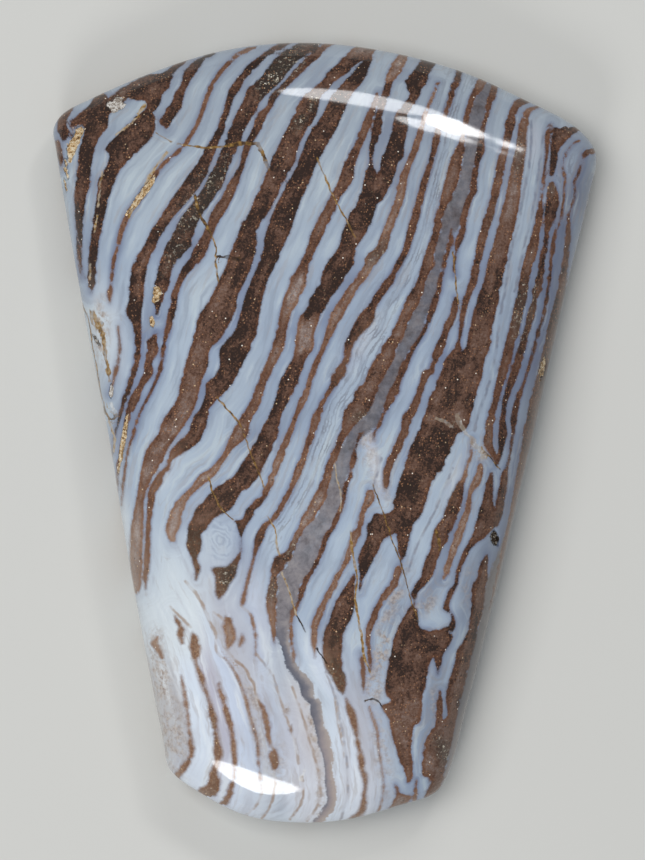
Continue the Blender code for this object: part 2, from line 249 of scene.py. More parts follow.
    "smoke_edge_low": (((-4.0, 0.75), (-10.0, 0.75), (-10.8, 0.4)), (
        (0.1, 1.95, 2.3), (-0.5, 1.85, 2.0), (-1.0, 1.68, 1.85), (-1.5, 1.5, 1.9), (-2.0, 1.45, 1.7),
        (-2.5, 1.4, 1.6), (-3.0, 1.1, 1.4), (-4.0, 0.95, 1.2), (-4.5, 0.8, 1.05), (-5.0, 0.5, 0.85),
        (-5.5, 0.35, 0.65), (-6.0, -0.05, 0.3), (-6.5, -0.2, 0.1), (-7.0, -0.37, -0.13),
        (-7.5, -0.55, -0.28), (-8.0, -0.8, -0.5), (-8.5, -1.15, -0.85), (-9.0, -1.45, -1.08),
        (-9.5, -1.6, -1.22), (-10.0, -1.7, -1.45), (-10.5, -2.0, -1.65), (-11.0, -2.08, -1.88),
        (-12.0, -2.12, -1.9), (-13.0, -2.0, -1.8), (-13.6, -1.85, -1.8))),
    "fifteenth": (0.72, (
        (20.1, 11.8, 13.2), (19.85, 11.3, 12.4), (19.5, 11.12, 11.65), (19.0, 10.9, 11.4),
        (18.5, 10.75, 11.35), (18.0, 10.7, 11.2), (17.0, 10.5, 10.95), (16.0, 10.2, 10.75),
        (15.0, 10.0, 10.55), (14.0, 9.85, 10.3), (13.0, 9.48, 10.03), (12.0, 9.18, 9.73),
        (11.0, 8.95, 9.45), (10.5, 8.9, 9.35), (10.0, 8.75, 9.2), (9.0, 8.55, 9.05), (8.0, 8.2, 8.6),
        (7.0, 8.0, 8.35), (6.0, 7.93, 8.15), (5.4, 7.8, 8.05), (5.0, 7.6, 8.1), (4.6, 7.3, 8.0))),
    "fifteenth_low": (0.72, (
        (8.1, 7.65, 7.8), (7.8, 7.55, 7.95), (7.0, 7.35, 7.8), (6.5, 7.05, 7.6), (6.0, 6.95, 7.35),
        (5.0, 6.5, 7.1), (4.0, 6.2, 6.55), (3.6, 5.75, 6.4), (3.0, 5.6, 6.0), (2.0, 5.2, 5.7),
        (1.5, 4.95, 5.5), (1.0, 4.65, 5.25), (0.5, 4.5, 5.1), (0.0, 4.4, 4.9), (-1.0, 3.95, 4.5),
        (-2.0, 3.5, 4.0), (-2.5, 3.4, 3.85), (-3.0, 3.45, 3.8), (-3.4, 3.55, 3.6))),
    "main_mass": (((17.0, 0.45), (12.0, 0.6), (9.0, 0.82), (1.0, 0.85), (-5.0, 0.92)), (
        (19.6, 12.6, 13.2), (19.4, 12.05, 12.6), (19.2, 11.85, 12.3), (18.0, 11.5, 12.05),
        (17.0, 11.35, 12.0), (16.0, 11.1, 11.85), (15.0, 10.9, 11.7), (14.0, 10.7, 11.6),
        (13.0, 10.43, 11.45), (12.0, 10.2, 11.2), (11.0, 9.9, 10.95), (10.0, 9.6, 10.75),
        (9.0, 9.4, 10.5), (8.5, 9.2, 10.4), (8.0, 9.05, 10.35), (7.0, 8.75, 10.1), (6.0, 8.55, 9.9),
        (5.0, 8.25, 9.8), (4.7, 7.6, 9.65), (4.5, 7.2, 9.55), (4.0, 7.02, 9.4), (3.5, 6.85, 9.35),
        (3.0, 6.6, 9.2), (2.0, 6.15, 8.9), (1.0, 5.85, 8.65), (0.5, 5.7, 8.55), (0.2, 5.55, 8.3),
        (0.0, 5.45, 7.85), (-0.5, 5.2, 7.65), (-1.0, 5.0, 7.45), (-1.5, 4.85, 7.2), (-2.0, 4.7, 7.0),
        (-2.5, 4.5, 6.6), (-3.0, 4.35, 6.3), (-4.0, 4.05, 6.0), (-4.6, 3.95, 5.8), (-4.8, 2.9, 5.7),
        (-5.0, 2.8, 5.6), (-5.4, 2.5, 5.25), (-5.9, 2.5, 5.1))),
    "main_mass_left": (0.9, (
        (-5.6, 2.5, 4.4), (-5.9, 2.5, 4.15), (-6.3, 2.4, 3.5), (-7.0, 2.1, 3.15), (-7.5, 1.95, 2.9),
        (-8.0, 2.0, 2.6), (-8.5, 2.05, 2.35), (-9.0, 2.02, 2.15), (-9.4, 2.0, 2.03))),
    "main_mass_right": (0.9, (
        (-5.6, 4.0, 5.2), (-5.9, 4.2, 5.07), (-6.5, 4.3, 4.95), (-7.0, 4.3, 4.85), (-7.3, 4.4, 4.7),
        (-7.7, 4.52, 4.56))),
    "tan_stripe": (0.38, (
        (-3.3, 2.5, 2.9), (-4.0, 2.3, 2.9), (-4.5, 2.15, 2.5), (-5.0, 2.0, 2.35), (-5.5, 1.9, 2.2),
        (-6.0, 1.6, 2.1), (-7.0, 1.3, 1.65), (-7.5, 1.1, 1.5), (-8.0, 0.9, 1.2), (-8.5, 0.55, 0.9),
        (-9.0, 0.3, 0.7), (-9.5, 0.05, 0.4), (-10.0, -0.25, 0.15), (-11.0, -0.7, -0.2),
        (-11.5, -0.8, -0.4), (-12.5, -0.8, -0.5), (-13.3, -0.62, -0.58))),
    "low_dark": (0.88, (
        (-8.3, 1.73, 1.77), (-8.6, 1.5, 1.82), (-9.0, 1.25, 1.75), (-9.5, 0.95, 1.75), (-10.0, 0.65, 1.75),
        (-10.5, 0.4, 1.7), (-11.0, 0.25, 1.5), (-11.5, 0.05, 1.25), (-12.0, -0.1, 1.05),
        (-13.0, -0.15, 1.0), (-13.4, -0.1, 1.0), (-14.0, 0.1, 1.05), (-14.5, 0.4, 1.2),
        (-15.0, 0.65, 1.28), (-15.5, 1.03, 1.08))),
    "low_dark_tail": (0.62, (
        (-15.7, 1.2, 1.25), (-16.0, 1.2, 1.45), (-16.5, 1.25, 1.8), (-17.0, 1.45, 1.9),
        (-17.5, 1.6, 1.95), (-18.0, 1.75, 2.0), (-18.5, 1.85, 2.1), (-19.0, 1.95, 2.25),
        (-19.5, 1.95, 2.35), (-20.0, 2.05, 2.35), (-20.3, 2.15, 2.5), (-21.0, 2.3, 2.5),
        (-21.5, 2.2, 2.45), (-22.0, 2.15, 2.45), (-22.5, 2.0, 2.45), (-22.9, 1.55, 2.1),
        (-23.2, 1.3, 1.7))),
    "hook": (0.82, (
        (-6.2, 8.7, 9.3), (-7.0, 8.2, 8.6), (-7.5, 8.0, 8.35), (-8.0, 7.85, 8.12), (-8.5, 7.73, 7.98),
        (-9.0, 7.65, 7.88), (-9.3, 7.35, 7.75), (-10.0, 7.12, 7.42), (-10.45, 7.0, 7.45),
        (-10.6, 7.25, 7.5), (-11.0, 7.55, 7.7), (-11.3, 7.4, 7.75), (-11.6, 6.9, 7.7),
        (-11.8, 5.75, 7.65))),
    "foot_dark": (((-14.5, 0.88), (-16.5, 0.68)), (
        (-10.1, 5.15, 5.25), (-10.5, 4.9, 5.45), (-11.0, 4.6, 5.52), (-11.5, 4.3, 5.65),
        (-11.75, 4.2, 6.2), (-11.9, 4.17, 7.6), (-12.5, 4.0, 7.4), (-13.0, 3.9, 7.1),
        (-13.25, 3.85, 6.95), (-13.35, 3.82, 6.35), (-14.0, 3.7, 6.15), (-15.0, 3.55, 6.0),
        (-15.5, 3.62, 5.85), (-15.9, 3.9, 5.8), (-16.2, 3.4, 5.78), (-17.0, 3.8, 5.7),
        (-17.25, 3.85, 5.6), (-17.4, 3.87, 5.3), (-18.0, 4.0, 5.2), (-19.0, 4.3, 5.15),
        (-19.5, 4.4, 5.2), (-19.8, 4.6, 5.22), (-20.5, 4.8, 5.2), (-20.8, 4.9, 5.0))),
    "foot_spur": (0.85, ((-12.9, 6.3, 7.1), (-13.3, 6.5, 6.95), (-13.7, 6.55, 6.88), (-14.3, 6.68, 6.72))),
    "rim_low": (((-9.0, 0.75), (-14.0, 0.8), (-17.0, 0.72), (-19.0, 0.6)), (
        (-7.2, 9.6, 9.7), (-7.5, 9.4, 9.72), (-8.0, 9.15, 9.7), (-8.7, 9.0, 9.65), (-9.0, 8.75, 9.6),
        (-9.5, 8.7, 9.52), (-10.4, 8.7, 9.45), (-11.7, 8.5, 9.1), (-12.3, 8.25, 9.0), (-12.9, 7.85, 8.85),
        (-13.5, 7.75, 8.7), (-15.0, 7.3, 8.3), (-16.0, 7.2, 8.05), (-16.8, 7.27, 7.88), (-17.2, 6.8, 7.8),
        (-18.0, 6.1, 7.65), (-19.0, 5.85, 7.42), (-20.0, 5.8, 7.18), (-20.4, 5.85, 7.08),
        (-20.6, 6.35, 7.05), (-21.0, 6.25, 6.95), (-21.5, 6.0, 6.8), (-21.9, 5.9, 6.4))),
    "rim_sliver": (0.65, ((-15.3, 6.8, 6.88), (-16.0, 6.65, 7.0), (-17.0, 6.6, 7.02), (-17.4, 6.55, 7.1))),
    "seventeenth_upper": (0.65, (
        (18.6, 13.4, 13.6), (18.0, 13.15, 13.45), (17.0, 13.1, 13.35), (16.0, 13.05, 13.2),
        (15.0, 12.9, 13.1), (14.0, 12.75, 12.95), (13.0, 12.55, 12.95), (12.0, 12.35, 12.8),
        (11.0, 12.0, 12.7), (10.0, 11.75, 12.4), (9.0, 11.55, 12.15), (8.0, 11.35, 12.0),
        (7.0, 11.1, 11.75), (6.0, 10.9, 11.55), (5.7, 10.75, 11.4), (5.0, 10.6, 11.2), (4.0, 10.35, 10.95),
        (3.0, 10.15, 10.65), (2.0, 9.95, 10.35), (1.0, 9.65, 10.1), (0.0, 9.48, 10.0), (-0.5, 9.42, 9.98),
        (-1.0, 9.6, 10.1), (-1.5, 9.95, 10.3), (-1.9, 10.15, 10.3))),
    "seventeenth_thread": (0.4, (
        (-0.3, 8.72, 8.8), (-1.0, 8.6, 8.75), (-1.5, 8.5, 8.7), (-2.0, 8.3, 8.5), (-2.5, 8.15, 8.45),
        (-2.9, 7.95, 8.3))),
    "seventeenth_low": (0.82, (
        (-2.8, 7.95, 8.3), (-3.5, 7.55, 8.2), (-4.0, 7.35, 8.15), (-4.5, 7.15, 8.0), (-5.0, 6.95, 7.85),
        (-5.5, 6.6, 7.6), (-6.0, 6.4, 7.4), (-6.5, 6.3, 7.2), (-7.0, 6.2, 6.85), (-7.5, 5.95, 6.7),
        (-8.0, 5.8, 6.55), (-8.5, 5.7, 6.35), (-9.0, 5.3, 5.95), (-9.5, 5.15, 5.5), (-10.0, 5.2, 5.4),
        (-10.3, 5.15, 5.35))),
    "tan_streak": (0.3, (
        (-1.7, 9.15, 9.3), (-2.0, 9.05, 9.4), (-2.5, 8.9, 9.35), (-3.0, 8.65, 9.2), (-3.5, 8.5, 8.8),
        (-4.5, 8.3, 8.65), (-5.0, 8.1, 8.5), (-6.0, 7.7, 8.2), (-7.0, 7.35, 7.8), (-8.0, 7.1, 7.5),
        (-8.7, 6.9, 7.1))),
    "eighteenth_cap": (0.88, (
        (18.35, 13.7, 15.6), (18.15, 13.55, 15.3), (17.8, 13.53, 14.75), (17.5, 13.5, 14.4),
        (17.0, 13.45, 14.0), (16.5, 13.43, 13.88), (16.0, 13.38, 13.8), (15.5, 13.35, 13.65),
        (15.3, 13.38, 13.5))),
    "eighteenth": (((15.0, 0.6), (14.0, 0.9), (9.0, 0.8), (7.5, 0.5), (5.0, 0.8)), (
        (15.0, 13.3, 13.6), (14.5, 13.2, 13.85), (14.0, 13.2, 13.95), (13.0, 13.05, 13.8),
        (12.7, 13.05, 13.65), (12.0, 13.08, 13.4), (11.0, 12.9, 13.25), (10.0, 12.7, 13.1),
        (9.0, 12.5, 13.0), (8.5, 12.32, 12.9), (8.0, 12.32, 12.65), (7.0, 12.0, 12.5), (6.0, 11.8, 12.15),
        (5.0, 11.45, 11.9), (4.0, 11.1, 11.65), (3.0, 10.8, 11.3), (2.0, 10.55, 10.9), (1.0, 10.45, 10.75),
        (0.0, 10.3, 10.85), (-0.5, 10.3, 10.75), (-1.0, 10.3, 10.6), (-1.9, 10.2, 10.3))),
    "eighteenth_low": (0.8, (
        (-2.3, 9.85, 10.0), (-3.0, 9.55, 10.0), (-3.5, 9.45, 9.98), (-4.0, 9.35, 10.0), (-4.4, 9.2, 10.1),
        (-4.6, 9.15, 10.6), (-5.0, 9.05, 10.5), (-5.5, 8.9, 10.25), (-5.8, 8.85, 9.9), (-6.2, 8.65, 9.5),
        (-6.5, 8.5, 9.0))),
    "nineteenth": (((17.0, 0.45), (12.0, 0.75), (-4.0, 0.75)), (
        (17.5, 15.0, 15.25), (17.2, 14.6, 14.8), (16.8, 14.35, 14.5), (16.4, 14.2, 14.3),
        (16.0, 14.08, 14.22), (15.7, 14.08, 14.25), (15.2, 14.2, 14.37), (14.5, 14.2, 14.3),
        (13.5, 14.1, 14.2), (12.5, 13.88, 14.02), (12.0, 13.65, 13.85), (11.0, 13.45, 13.68),
        (10.0, 13.33, 13.52), (9.0, 13.25, 13.45), (8.0, 13.13, 13.3), (7.0, 12.9, 13.1), (6.0, 12.6, 12.8),
        (5.0, 12.33, 12.57), (4.0, 12.05, 12.25), (3.0, 11.75, 11.9), (2.5, 11.5, 11.75), (2.0, 11.3, 11.65),
        (1.0, 11.05, 11.45), (0.0, 11.1, 11.3), (-0.5, 11.0, 11.2), (-1.2, 10.95, 11.1),
        (-1.9, 10.75, 10.95), (-2.5, 10.45, 10.9), (-3.0, 10.4, 10.87), (-3.5, 10.25, 10.8),
        (-4.5, 10.1, 10.62), (-5.0, 9.9, 10.5))),
    "twentieth": (((10.0, 0.7), (6.0, 0.85), (0.0, 0.75), (-4.0, 0.5)), (
        (17.0, 15.5, 16.4), (16.8, 15.35, 16.2), (16.5, 15.3, 15.55), (16.0, 15.2, 15.35),
        (15.5, 15.0, 15.2), (15.0, 14.8, 14.97), (14.2, 14.82, 14.95), (13.0, 14.45, 14.6),
        (12.0, 14.32, 14.68), (11.0, 14.25, 14.6), (10.0, 14.1, 14.5), (9.0, 13.92, 14.45),
        (8.0, 13.7, 14.3), (7.0, 13.45, 14.1), (6.0, 13.22, 13.93), (5.0, 12.98, 13.7), (3.0, 12.5, 13.25),
        (1.0, 12.0, 12.75), (-1.0, 11.65, 12.2), (-3.0, 11.3, 11.68), (-5.0, 10.95, 11.2),
        (-7.0, 10.5, 10.74), (-8.5, 10.18, 10.36), (-9.7, 9.95, 10.05), (-10.6, 9.75, 9.78))),
    "right_wall": (0.65, (
        (15.0, 16.2, 16.3), (12.0, 15.4, 15.65), (9.0, 14.7, 15.0), (6.0, 14.05, 14.3), (3.0, 13.35, 13.55),
        (-1.0, 12.45, 12.6), (-4.0, 11.7, 12.0), (-7.0, 11.05, 11.3), (-11.0, 10.1, 10.4),
        (-15.0, 9.05, 9.35), (-18.0, 8.3, 8.5))),
    "low_left_island": (0.42, (
        (-10.8, -8.97, -8.93), (-11.0, -8.95, -8.75), (-11.5, -8.8, -8.4), (-12.0, -8.75, -8.35),
        (-12.5, -8.55, -8.45))),
    "low_left": (((-12.5, 0.45), (-15.5, 0.6), (-17.0, 0.8), (-18.5, 0.7)), (
        (-11.8, -7.87, -7.83), (-12.0, -7.95, -7.6), (-12.5, -8.0, -7.45), (-13.0, -8.0, -7.4),
        (-13.5, -7.85, -7.6), (-14.0, -7.65, -7.4), (-14.5, -7.55, -7.2), (-15.0, -7.35, -7.1),
        (-16.0, -7.0, -6.75), (-16.5, -6.95, -6.55), (-17.0, -6.85, -6.4), (-18.0, -6.65, -6.35),
        (-19.0, -6.65, -6.1), (-19.5, -6.6, -6.25), (-20.3, -6.9, -6.4), (-20.8, -6.95, -6.2),
        (-21.0, -7.1, -6.25), (-21.3, -7.6, -6.3), (-21.7, -7.8, -6.6))),
    "low_left_second": (0.55, (
        (-14.8, -6.32, -6.28), (-15.0, -6.45, -6.25), (-15.5, -6.35, -6.0), (-16.0, -6.15, -5.85),
        (-17.0, -5.9, -5.55), (-18.0, -5.65, -5.35), (-19.0, -5.6, -5.25), (-19.8, -5.5, -5.25),
        (-20.5, -5.5, -5.35), (-21.0, -5.7, -5.4), (-21.5, -5.9, -5.5), (-22.2, -6.4, -5.9))),
    "low_left_outer": (0.45, (
        (-14.4, -8.6, -8.55), (-15.0, -8.55, -8.35), (-16.0, -8.4, -8.15), (-17.0, -8.25, -8.05),
        (-18.0, -8.15, -7.95), (-18.5, -8.15, -7.9), (-19.0, -8.1, -7.8), (-19.5, -8.3, -7.95),
        (-20.0, -8.7, -8.2), (-20.6, -9.1, -8.7))),
    "brown_drop": (0.42, (
        (-10.9, -5.95, -5.55), (-11.2, -6.0, -5.5), (-11.5, -6.1, -5.4), (-12.0, -5.95, -5.3),
        (-12.5, -5.9, -5.45), (-12.85, -5.8, -5.77))),
    "brown_crumb": (0.3, ((-11.9, -4.95, -4.85), (-12.3, -5.1, -4.8), (-12.65, -5.1, -5.02))),
    "low_thread": (0.45, (
        (-13.3, -6.0, -5.95), (-14.0, -5.5, -5.42), (-15.0, -5.03, -4.93), (-16.0, -4.72, -4.55),
        (-16.5, -4.58, -4.45), (-17.5, -4.3, -4.2), (-18.5, -4.1, -3.95), (-19.3, -4.05, -3.9),
        (-20.0, -3.95, -3.85), (-20.7, -3.85, -3.7))),
    "low_tan": (0.38, (
        (-15.9, -3.97, -3.9), (-16.5, -3.8, -3.45), (-17.0, -3.7, -3.3), (-17.5, -3.6, -3.25),
        (-18.0, -3.5, -3.3), (-18.6, -3.28, -3.24))),
    "low_tan_second": (0.42, (
        (-18.8, -3.1, -2.95), (-19.0, -3.3, -2.85), (-19.5, -3.3, -2.75), (-19.95, -3.1, -2.85))),
    "low_spot": (0.6, ((-17.35, -2.0, -1.95), (-17.6, -2.12, -1.9), (-17.85, -2.05, -1.97))),
    "left_crumb": (0.3, (
        (-12.1, -10.05, -9.9), (-12.5, -10.35, -9.95), (-12.9, -10.1, -9.75), (-13.4, -9.8, -9.6))),
    "foot_left_tan": (0.6, (
        (-13.0, 2.12, 2.16), (-13.5, 2.1, 2.35), (-14.5, 2.15, 2.4), (-15.0, 2.2, 2.35),
        (-15.4, 2.26, 2.3))),
    "sixteenth_low": (0.58, (
        (-7.8, 4.3, 4.45), (-8.0, 4.2, 4.5), (-8.5, 4.0, 4.4), (-9.0, 3.75, 4.3), (-9.5, 3.4, 3.9),
        (-10.0, 3.1, 3.5), (-10.5, 2.85, 3.2), (-11.0, 2.65, 3.1), (-11.5, 2.45, 2.85), (-12.0, 2.4, 2.7),
        (-12.5, 2.42, 2.68), (-13.0, 2.5, 2.75), (-13.5, 2.55, 2.8), (-14.2, 2.65, 2.7))),
    "foot_thread": (0.25, (
        (-16.2, 2.6, 2.66), (-17.0, 2.78, 2.95), (-17.7, 3.0, 3.2), (-18.5, 3.1, 3.2), (-19.5, 3.25, 3.35),
        (-20.3, 3.4, 3.48), (-21.3, 3.45, 3.53), (-22.0, 3.3, 3.4), (-22.8, 3.1, 3.2))),
    "foot_rim": (0.5, (
        (-20.9, 4.15, 4.2), (-21.4, 4.28, 4.5), (-21.7, 4.2, 5.3), (-22.0, 4.05, 5.0), (-22.5, 3.8, 4.4))),
    "foot_rim_right": (0.42, ((-20.6, 5.42, 5.48), (-21.2, 5.32, 5.52), (-22.0, 5.2, 5.5))),
}

# Smoke-grey layers of clear chalcedony, in the same rows
SMOKE = {
    "smoke": (0.0, (
        (20.9, 9.55, 10.1), (20.4, 9.35, 9.9), (20.0, 9.0, 9.72), (19.0, 8.6, 9.52), (18.0, 8.4, 9.25),
        (17.0, 8.3, 9.08), (16.0, 8.15, 8.88), (15.0, 7.95, 8.68), (14.0, 7.5, 8.45), (13.0, 7.0, 8.12),
        (12.4, 6.9, 8.0), (12.0, 6.85, 7.7), (11.5, 6.7, 7.35), (11.0, 6.55, 7.22), (10.0, 6.4, 6.98),
        (9.0, 5.98, 6.74), (8.0, 5.68, 6.42), (7.5, 5.4, 6.2), (7.0, 5.13, 5.95), (6.0, 4.7, 5.72),
        (5.0, 4.28, 5.08), (4.5, 4.1, 4.78), (4.0, 3.83, 4.55), (3.0, 3.28, 4.12), (2.0, 2.88, 3.62),
        (1.0, 2.3, 3.32), (0.5, 1.8, 3.1), (0.0, 1.4, 2.3), (-0.5, 1.2, 1.88), (-1.0, 0.9, 1.75),
        (-2.0, 0.48, 1.5), (-3.0, 0.23, 1.15), (-4.0, 0.0, 1.0), (-4.5, -0.3, 0.85), (-5.0, -0.6, 0.6),
        (-5.5, -1.1, 0.38), (-6.0, -1.4, 0.0), (-7.0, -1.85, -0.35), (-7.5, -2.1, -0.5), (-8.0, -2.4, -0.78),
        (-8.5, -2.85, -1.1), (-9.0, -2.8, -1.42), (-10.0, -2.9, -1.65), (-10.5, -2.95, -1.95),
        (-11.0, -2.92, -2.03), (-12.0, -2.95, -2.1), (-12.5, -2.75, -2.05), (-13.0, -2.5, -1.98),
        (-13.5, -2.4, -1.8), (-14.0, -2.2, -1.5), (-14.5, -1.85, -1.0), (-15.0, -1.5, -0.75),
        (-15.5, -1.45, -0.7), (-15.8, -1.2, -0.4), (-16.0, -1.0, -0.25), (-17.0, -0.75, -0.1),
        (-17.5, -0.6, 0.0), (-17.7, -0.55, 0.2), (-18.5, -0.4, 0.35), (-19.0, -0.2, 0.5),
        (-20.0, 0.0, 0.45), (-21.0, 0.0, 0.65), (-21.5, 0.1, 0.7), (-22.0, 0.1, 0.65), (-22.5, -0.2, 0.5),
        (-23.0, -0.6, 0.1), (-23.6, -1.1, -0.3))),
    "rim_smoke": (0.0, (
        (-1.6, 12.0, 12.04), (-3.5, 11.5, 11.8), (-5.0, 11.05, 11.6), (-7.0, 10.35, 11.1),
        (-9.0, 9.55, 10.6), (-11.0, 9.2, 10.2), (-13.0, 8.75, 9.6), (-15.0, 8.2, 9.15),
        (-17.0, 7.75, 8.5), (-19.0, 7.35, 8.05), (-20.5, 7.0, 7.5), (-21.6, 6.95, 7.0))),
}

# Soft patches, each an ellipse: middle, half width, half length, lean of the long axis to the right in
# degrees, strength. MILK is where the pale agate turns milky, BLUSH where it is stained pinkish tan, LACE
# where it has fine dark growth lines, and SUGAR where the browns are full of small bright crystals. The
# haze patches are partly where the agate is clearer and lilac and the smoke layers are a warm grey, and
# partly painted shade: those along the right rim darken the pale agate for the shaded steep right flank
MILK = (
    (-7.2, -15.6, 4.6, 8.2, -14, 1.0), (-11.9, -6.4, 0.5, 3.2, -5, 0.7), (-3.9, -12.0, 0.9, 4.0, -8, 0.7),
    (1.6, -20.0, 1.9, 5.4, -4, 1.0), (-1.2, -19.5, 1.8, 5.6, -8, 1.0), (0.0, -14.3, 0.8, 2.6, -28, 0.8),
    (2.9, -1.6, 0.35, 2.2, -14, 0.7), (2.0, 5.0, 0.5, 2.0, 30, 0.3), (7.8, -2.6, 0.4, 1.6, 22, 0.4),
    (12.4, 17.4, 0.5, 1.2, 6, 0.5), (-12.9, 6.0, 0.9, 2.8, -10, 0.6), (-9.4, -2.4, 0.5, 2.0, 25, 0.3),
)
HAZE_AND_RIM_SHADE = (
    (13.9, 10.0, 0.6, 4.5, 12, 0.9), (12.7, 4.2, 0.5, 3.4, 12, 1.0), (11.5, -2.0, 0.5, 3.6, 13, 1.0),
    (15.3, 14.6, 0.7, 2.4, 8, 0.8), (9.7, -6.9, 0.6, 1.2, 30, 0.7), (8.5, -9.6, 0.45, 2.2, 12, 0.7),
    (6.2, -9.5, 0.5, 1.3, 25, 0.8), (7.0, -13.2, 0.35, 1.6, 14, 0.6), (6.1, -17.0, 0.5, 2.2, 12, 0.6),
    (4.0, -11.2, 0.6, 2.2, 15, 0.6), (3.6, 17.8, 0.35, 1.6, 20, 0.6), (-10.5, 6.8, 0.3, 1.2, 5, 0.6),
    (-8.8, -5.6, 0.4, 1.6, 20, 0.4), (7.8, -5.4, 0.4, 2.4, 20, 0.8), (10.6, 1.0, 0.4, 3.4, 14, 0.7),
    (-4.6, -0.4, 0.35, 1.8, 40, 0.5), (-1.0, 20.6, 0.4, 1.8, 32, 0.4), (13.1, 12.0, 0.3, 4.0, 10, 0.5),
    (10.4, -8.0, 0.7, 4.2, 14, 1.0), (9.2, -13.0, 0.7, 4.2, 14, 1.0), (8.1, -18.0, 0.6, 3.2, 14, 0.9),
    (-5.0, 0.0, 4.0, 6.5, 22, 0.13),
)
BLUSH = (
    (-9.9, -14.4, 0.7, 1.9, -10, 0.9), (-9.2, -17.8, 0.9, 2.4, -8, 0.8), (3.4, -12.6, 0.45, 2.0, 8, 0.9),
    (2.9, -15.0, 0.6, 1.0, 0, 0.8), (3.4, -19.2, 0.5, 2.6, -10, 0.6), (-4.1, -17.6, 0.35, 2.2, -12, 0.5),
    (2.5, -0.6, 0.5, 1.4, -10, 0.6), (3.2, -3.0, 0.3, 1.3, -32, 0.5), (-0.75, -17.6, 0.2, 1.7, -10, 0.9),
    (-0.3, -21.6, 0.25, 1.6, 0, 0.8), (-4.3, -15.6, 0.3, 1.4, -20, 0.7), (-2.3, -16.4, 0.2, 0.3, -10, 0.9),
    (5.3, -10.4, 0.35, 0.8, 30, 0.5), (6.1, -10.1, 0.5, 0.7, 20, 0.6), (8.5, -9.0, 0.35, 1.2, 10, 0.4),
    (4.2, -9.6, 0.4, 1.8, 22, 0.7), (-10.1, -12.4, 0.5, 0.8, 10, 0.7),
    (-13.35, 6.1, 0.45, 1.7, 0, 1.0), (9.2, -1.0, 0.45, 0.6, -20, 0.9), (7.9, 0.7, 0.35, 0.6, 15, 0.8),
    (6.5, -15.9, 0.25, 1.3, -4, 0.5), (-2.9, -19.6, 0.6, 1.4, 0, 0.5), (2.2, 6.0, 0.5, 1.6, 32, 0.4),
)
SUGAR = (
    (-2.6, 21.6, 0.7, 1.6, 42, 1.0), (-1.5, 18.5, 0.3, 0.5, 30, 0.9), (-0.6, 19.8, 0.3, 0.5, 30, 0.9),
    (-7.4, 13.9, 0.7, 2.4, 36, 0.9), (-12.3, 19.7, 0.6, 0.5, 50, 1.0), (9.4, 0.0, 0.4, 0.8, 10, 0.5),
    (11.9, 7.4, 0.7, 1.6, 12, 1.0), (13.4, 14.6, 0.3, 0.5, 5, 0.8), (11.6, 16.6, 0.4, 1.2, 8, 0.7),
    (-3.1, -9.2, 0.4, 0.7, 10, 0.9), (2.4, 0.9, 0.7, 0.4, 0, 1.0), (-1.9, -6.9, 0.4, 0.8, 30, 0.7),
    (-5.8, -8.6, 0.6, 0.7, 20, 0.8), (7.0, -18.9, 0.35, 0.9, -20, 1.0), (3.1, 10.6, 0.4, 0.9, 40, 0.7),
    (-8.9, 10.6, 0.4, 1.0, 30, 0.7), (10.0, 12.2, 0.3, 2.0, 12, 0.4),
)
LACE = (
    (7.3, 19.0, 0.7, 3.2, 12, 1.0), (6.3, 14.0, 0.7, 3.4, 14, 1.0), (4.6, 9.4, 0.8, 2.8, 28, 0.9),
    (2.2, 4.8, 0.9, 2.6, 32, 1.0), (0.2, 0.2, 0.8, 3.0, 25, 1.0), (-2.0, -4.2, 0.7, 2.6, 28, 0.8),
    (9.4, 21.0, 1.0, 1.4, 10, 0.6), (14.0, 15.4, 0.8, 2.4, 10, 0.8), (4.0, -10.5, 0.6, 2.0, 20, 0.5),
)

# The middle of the round nodule, how far its rings reach and how far apart they are
EYE = np.array((-6.25, -6.35))
EYE_REACH = 1.4
RING_STEP = 0.22

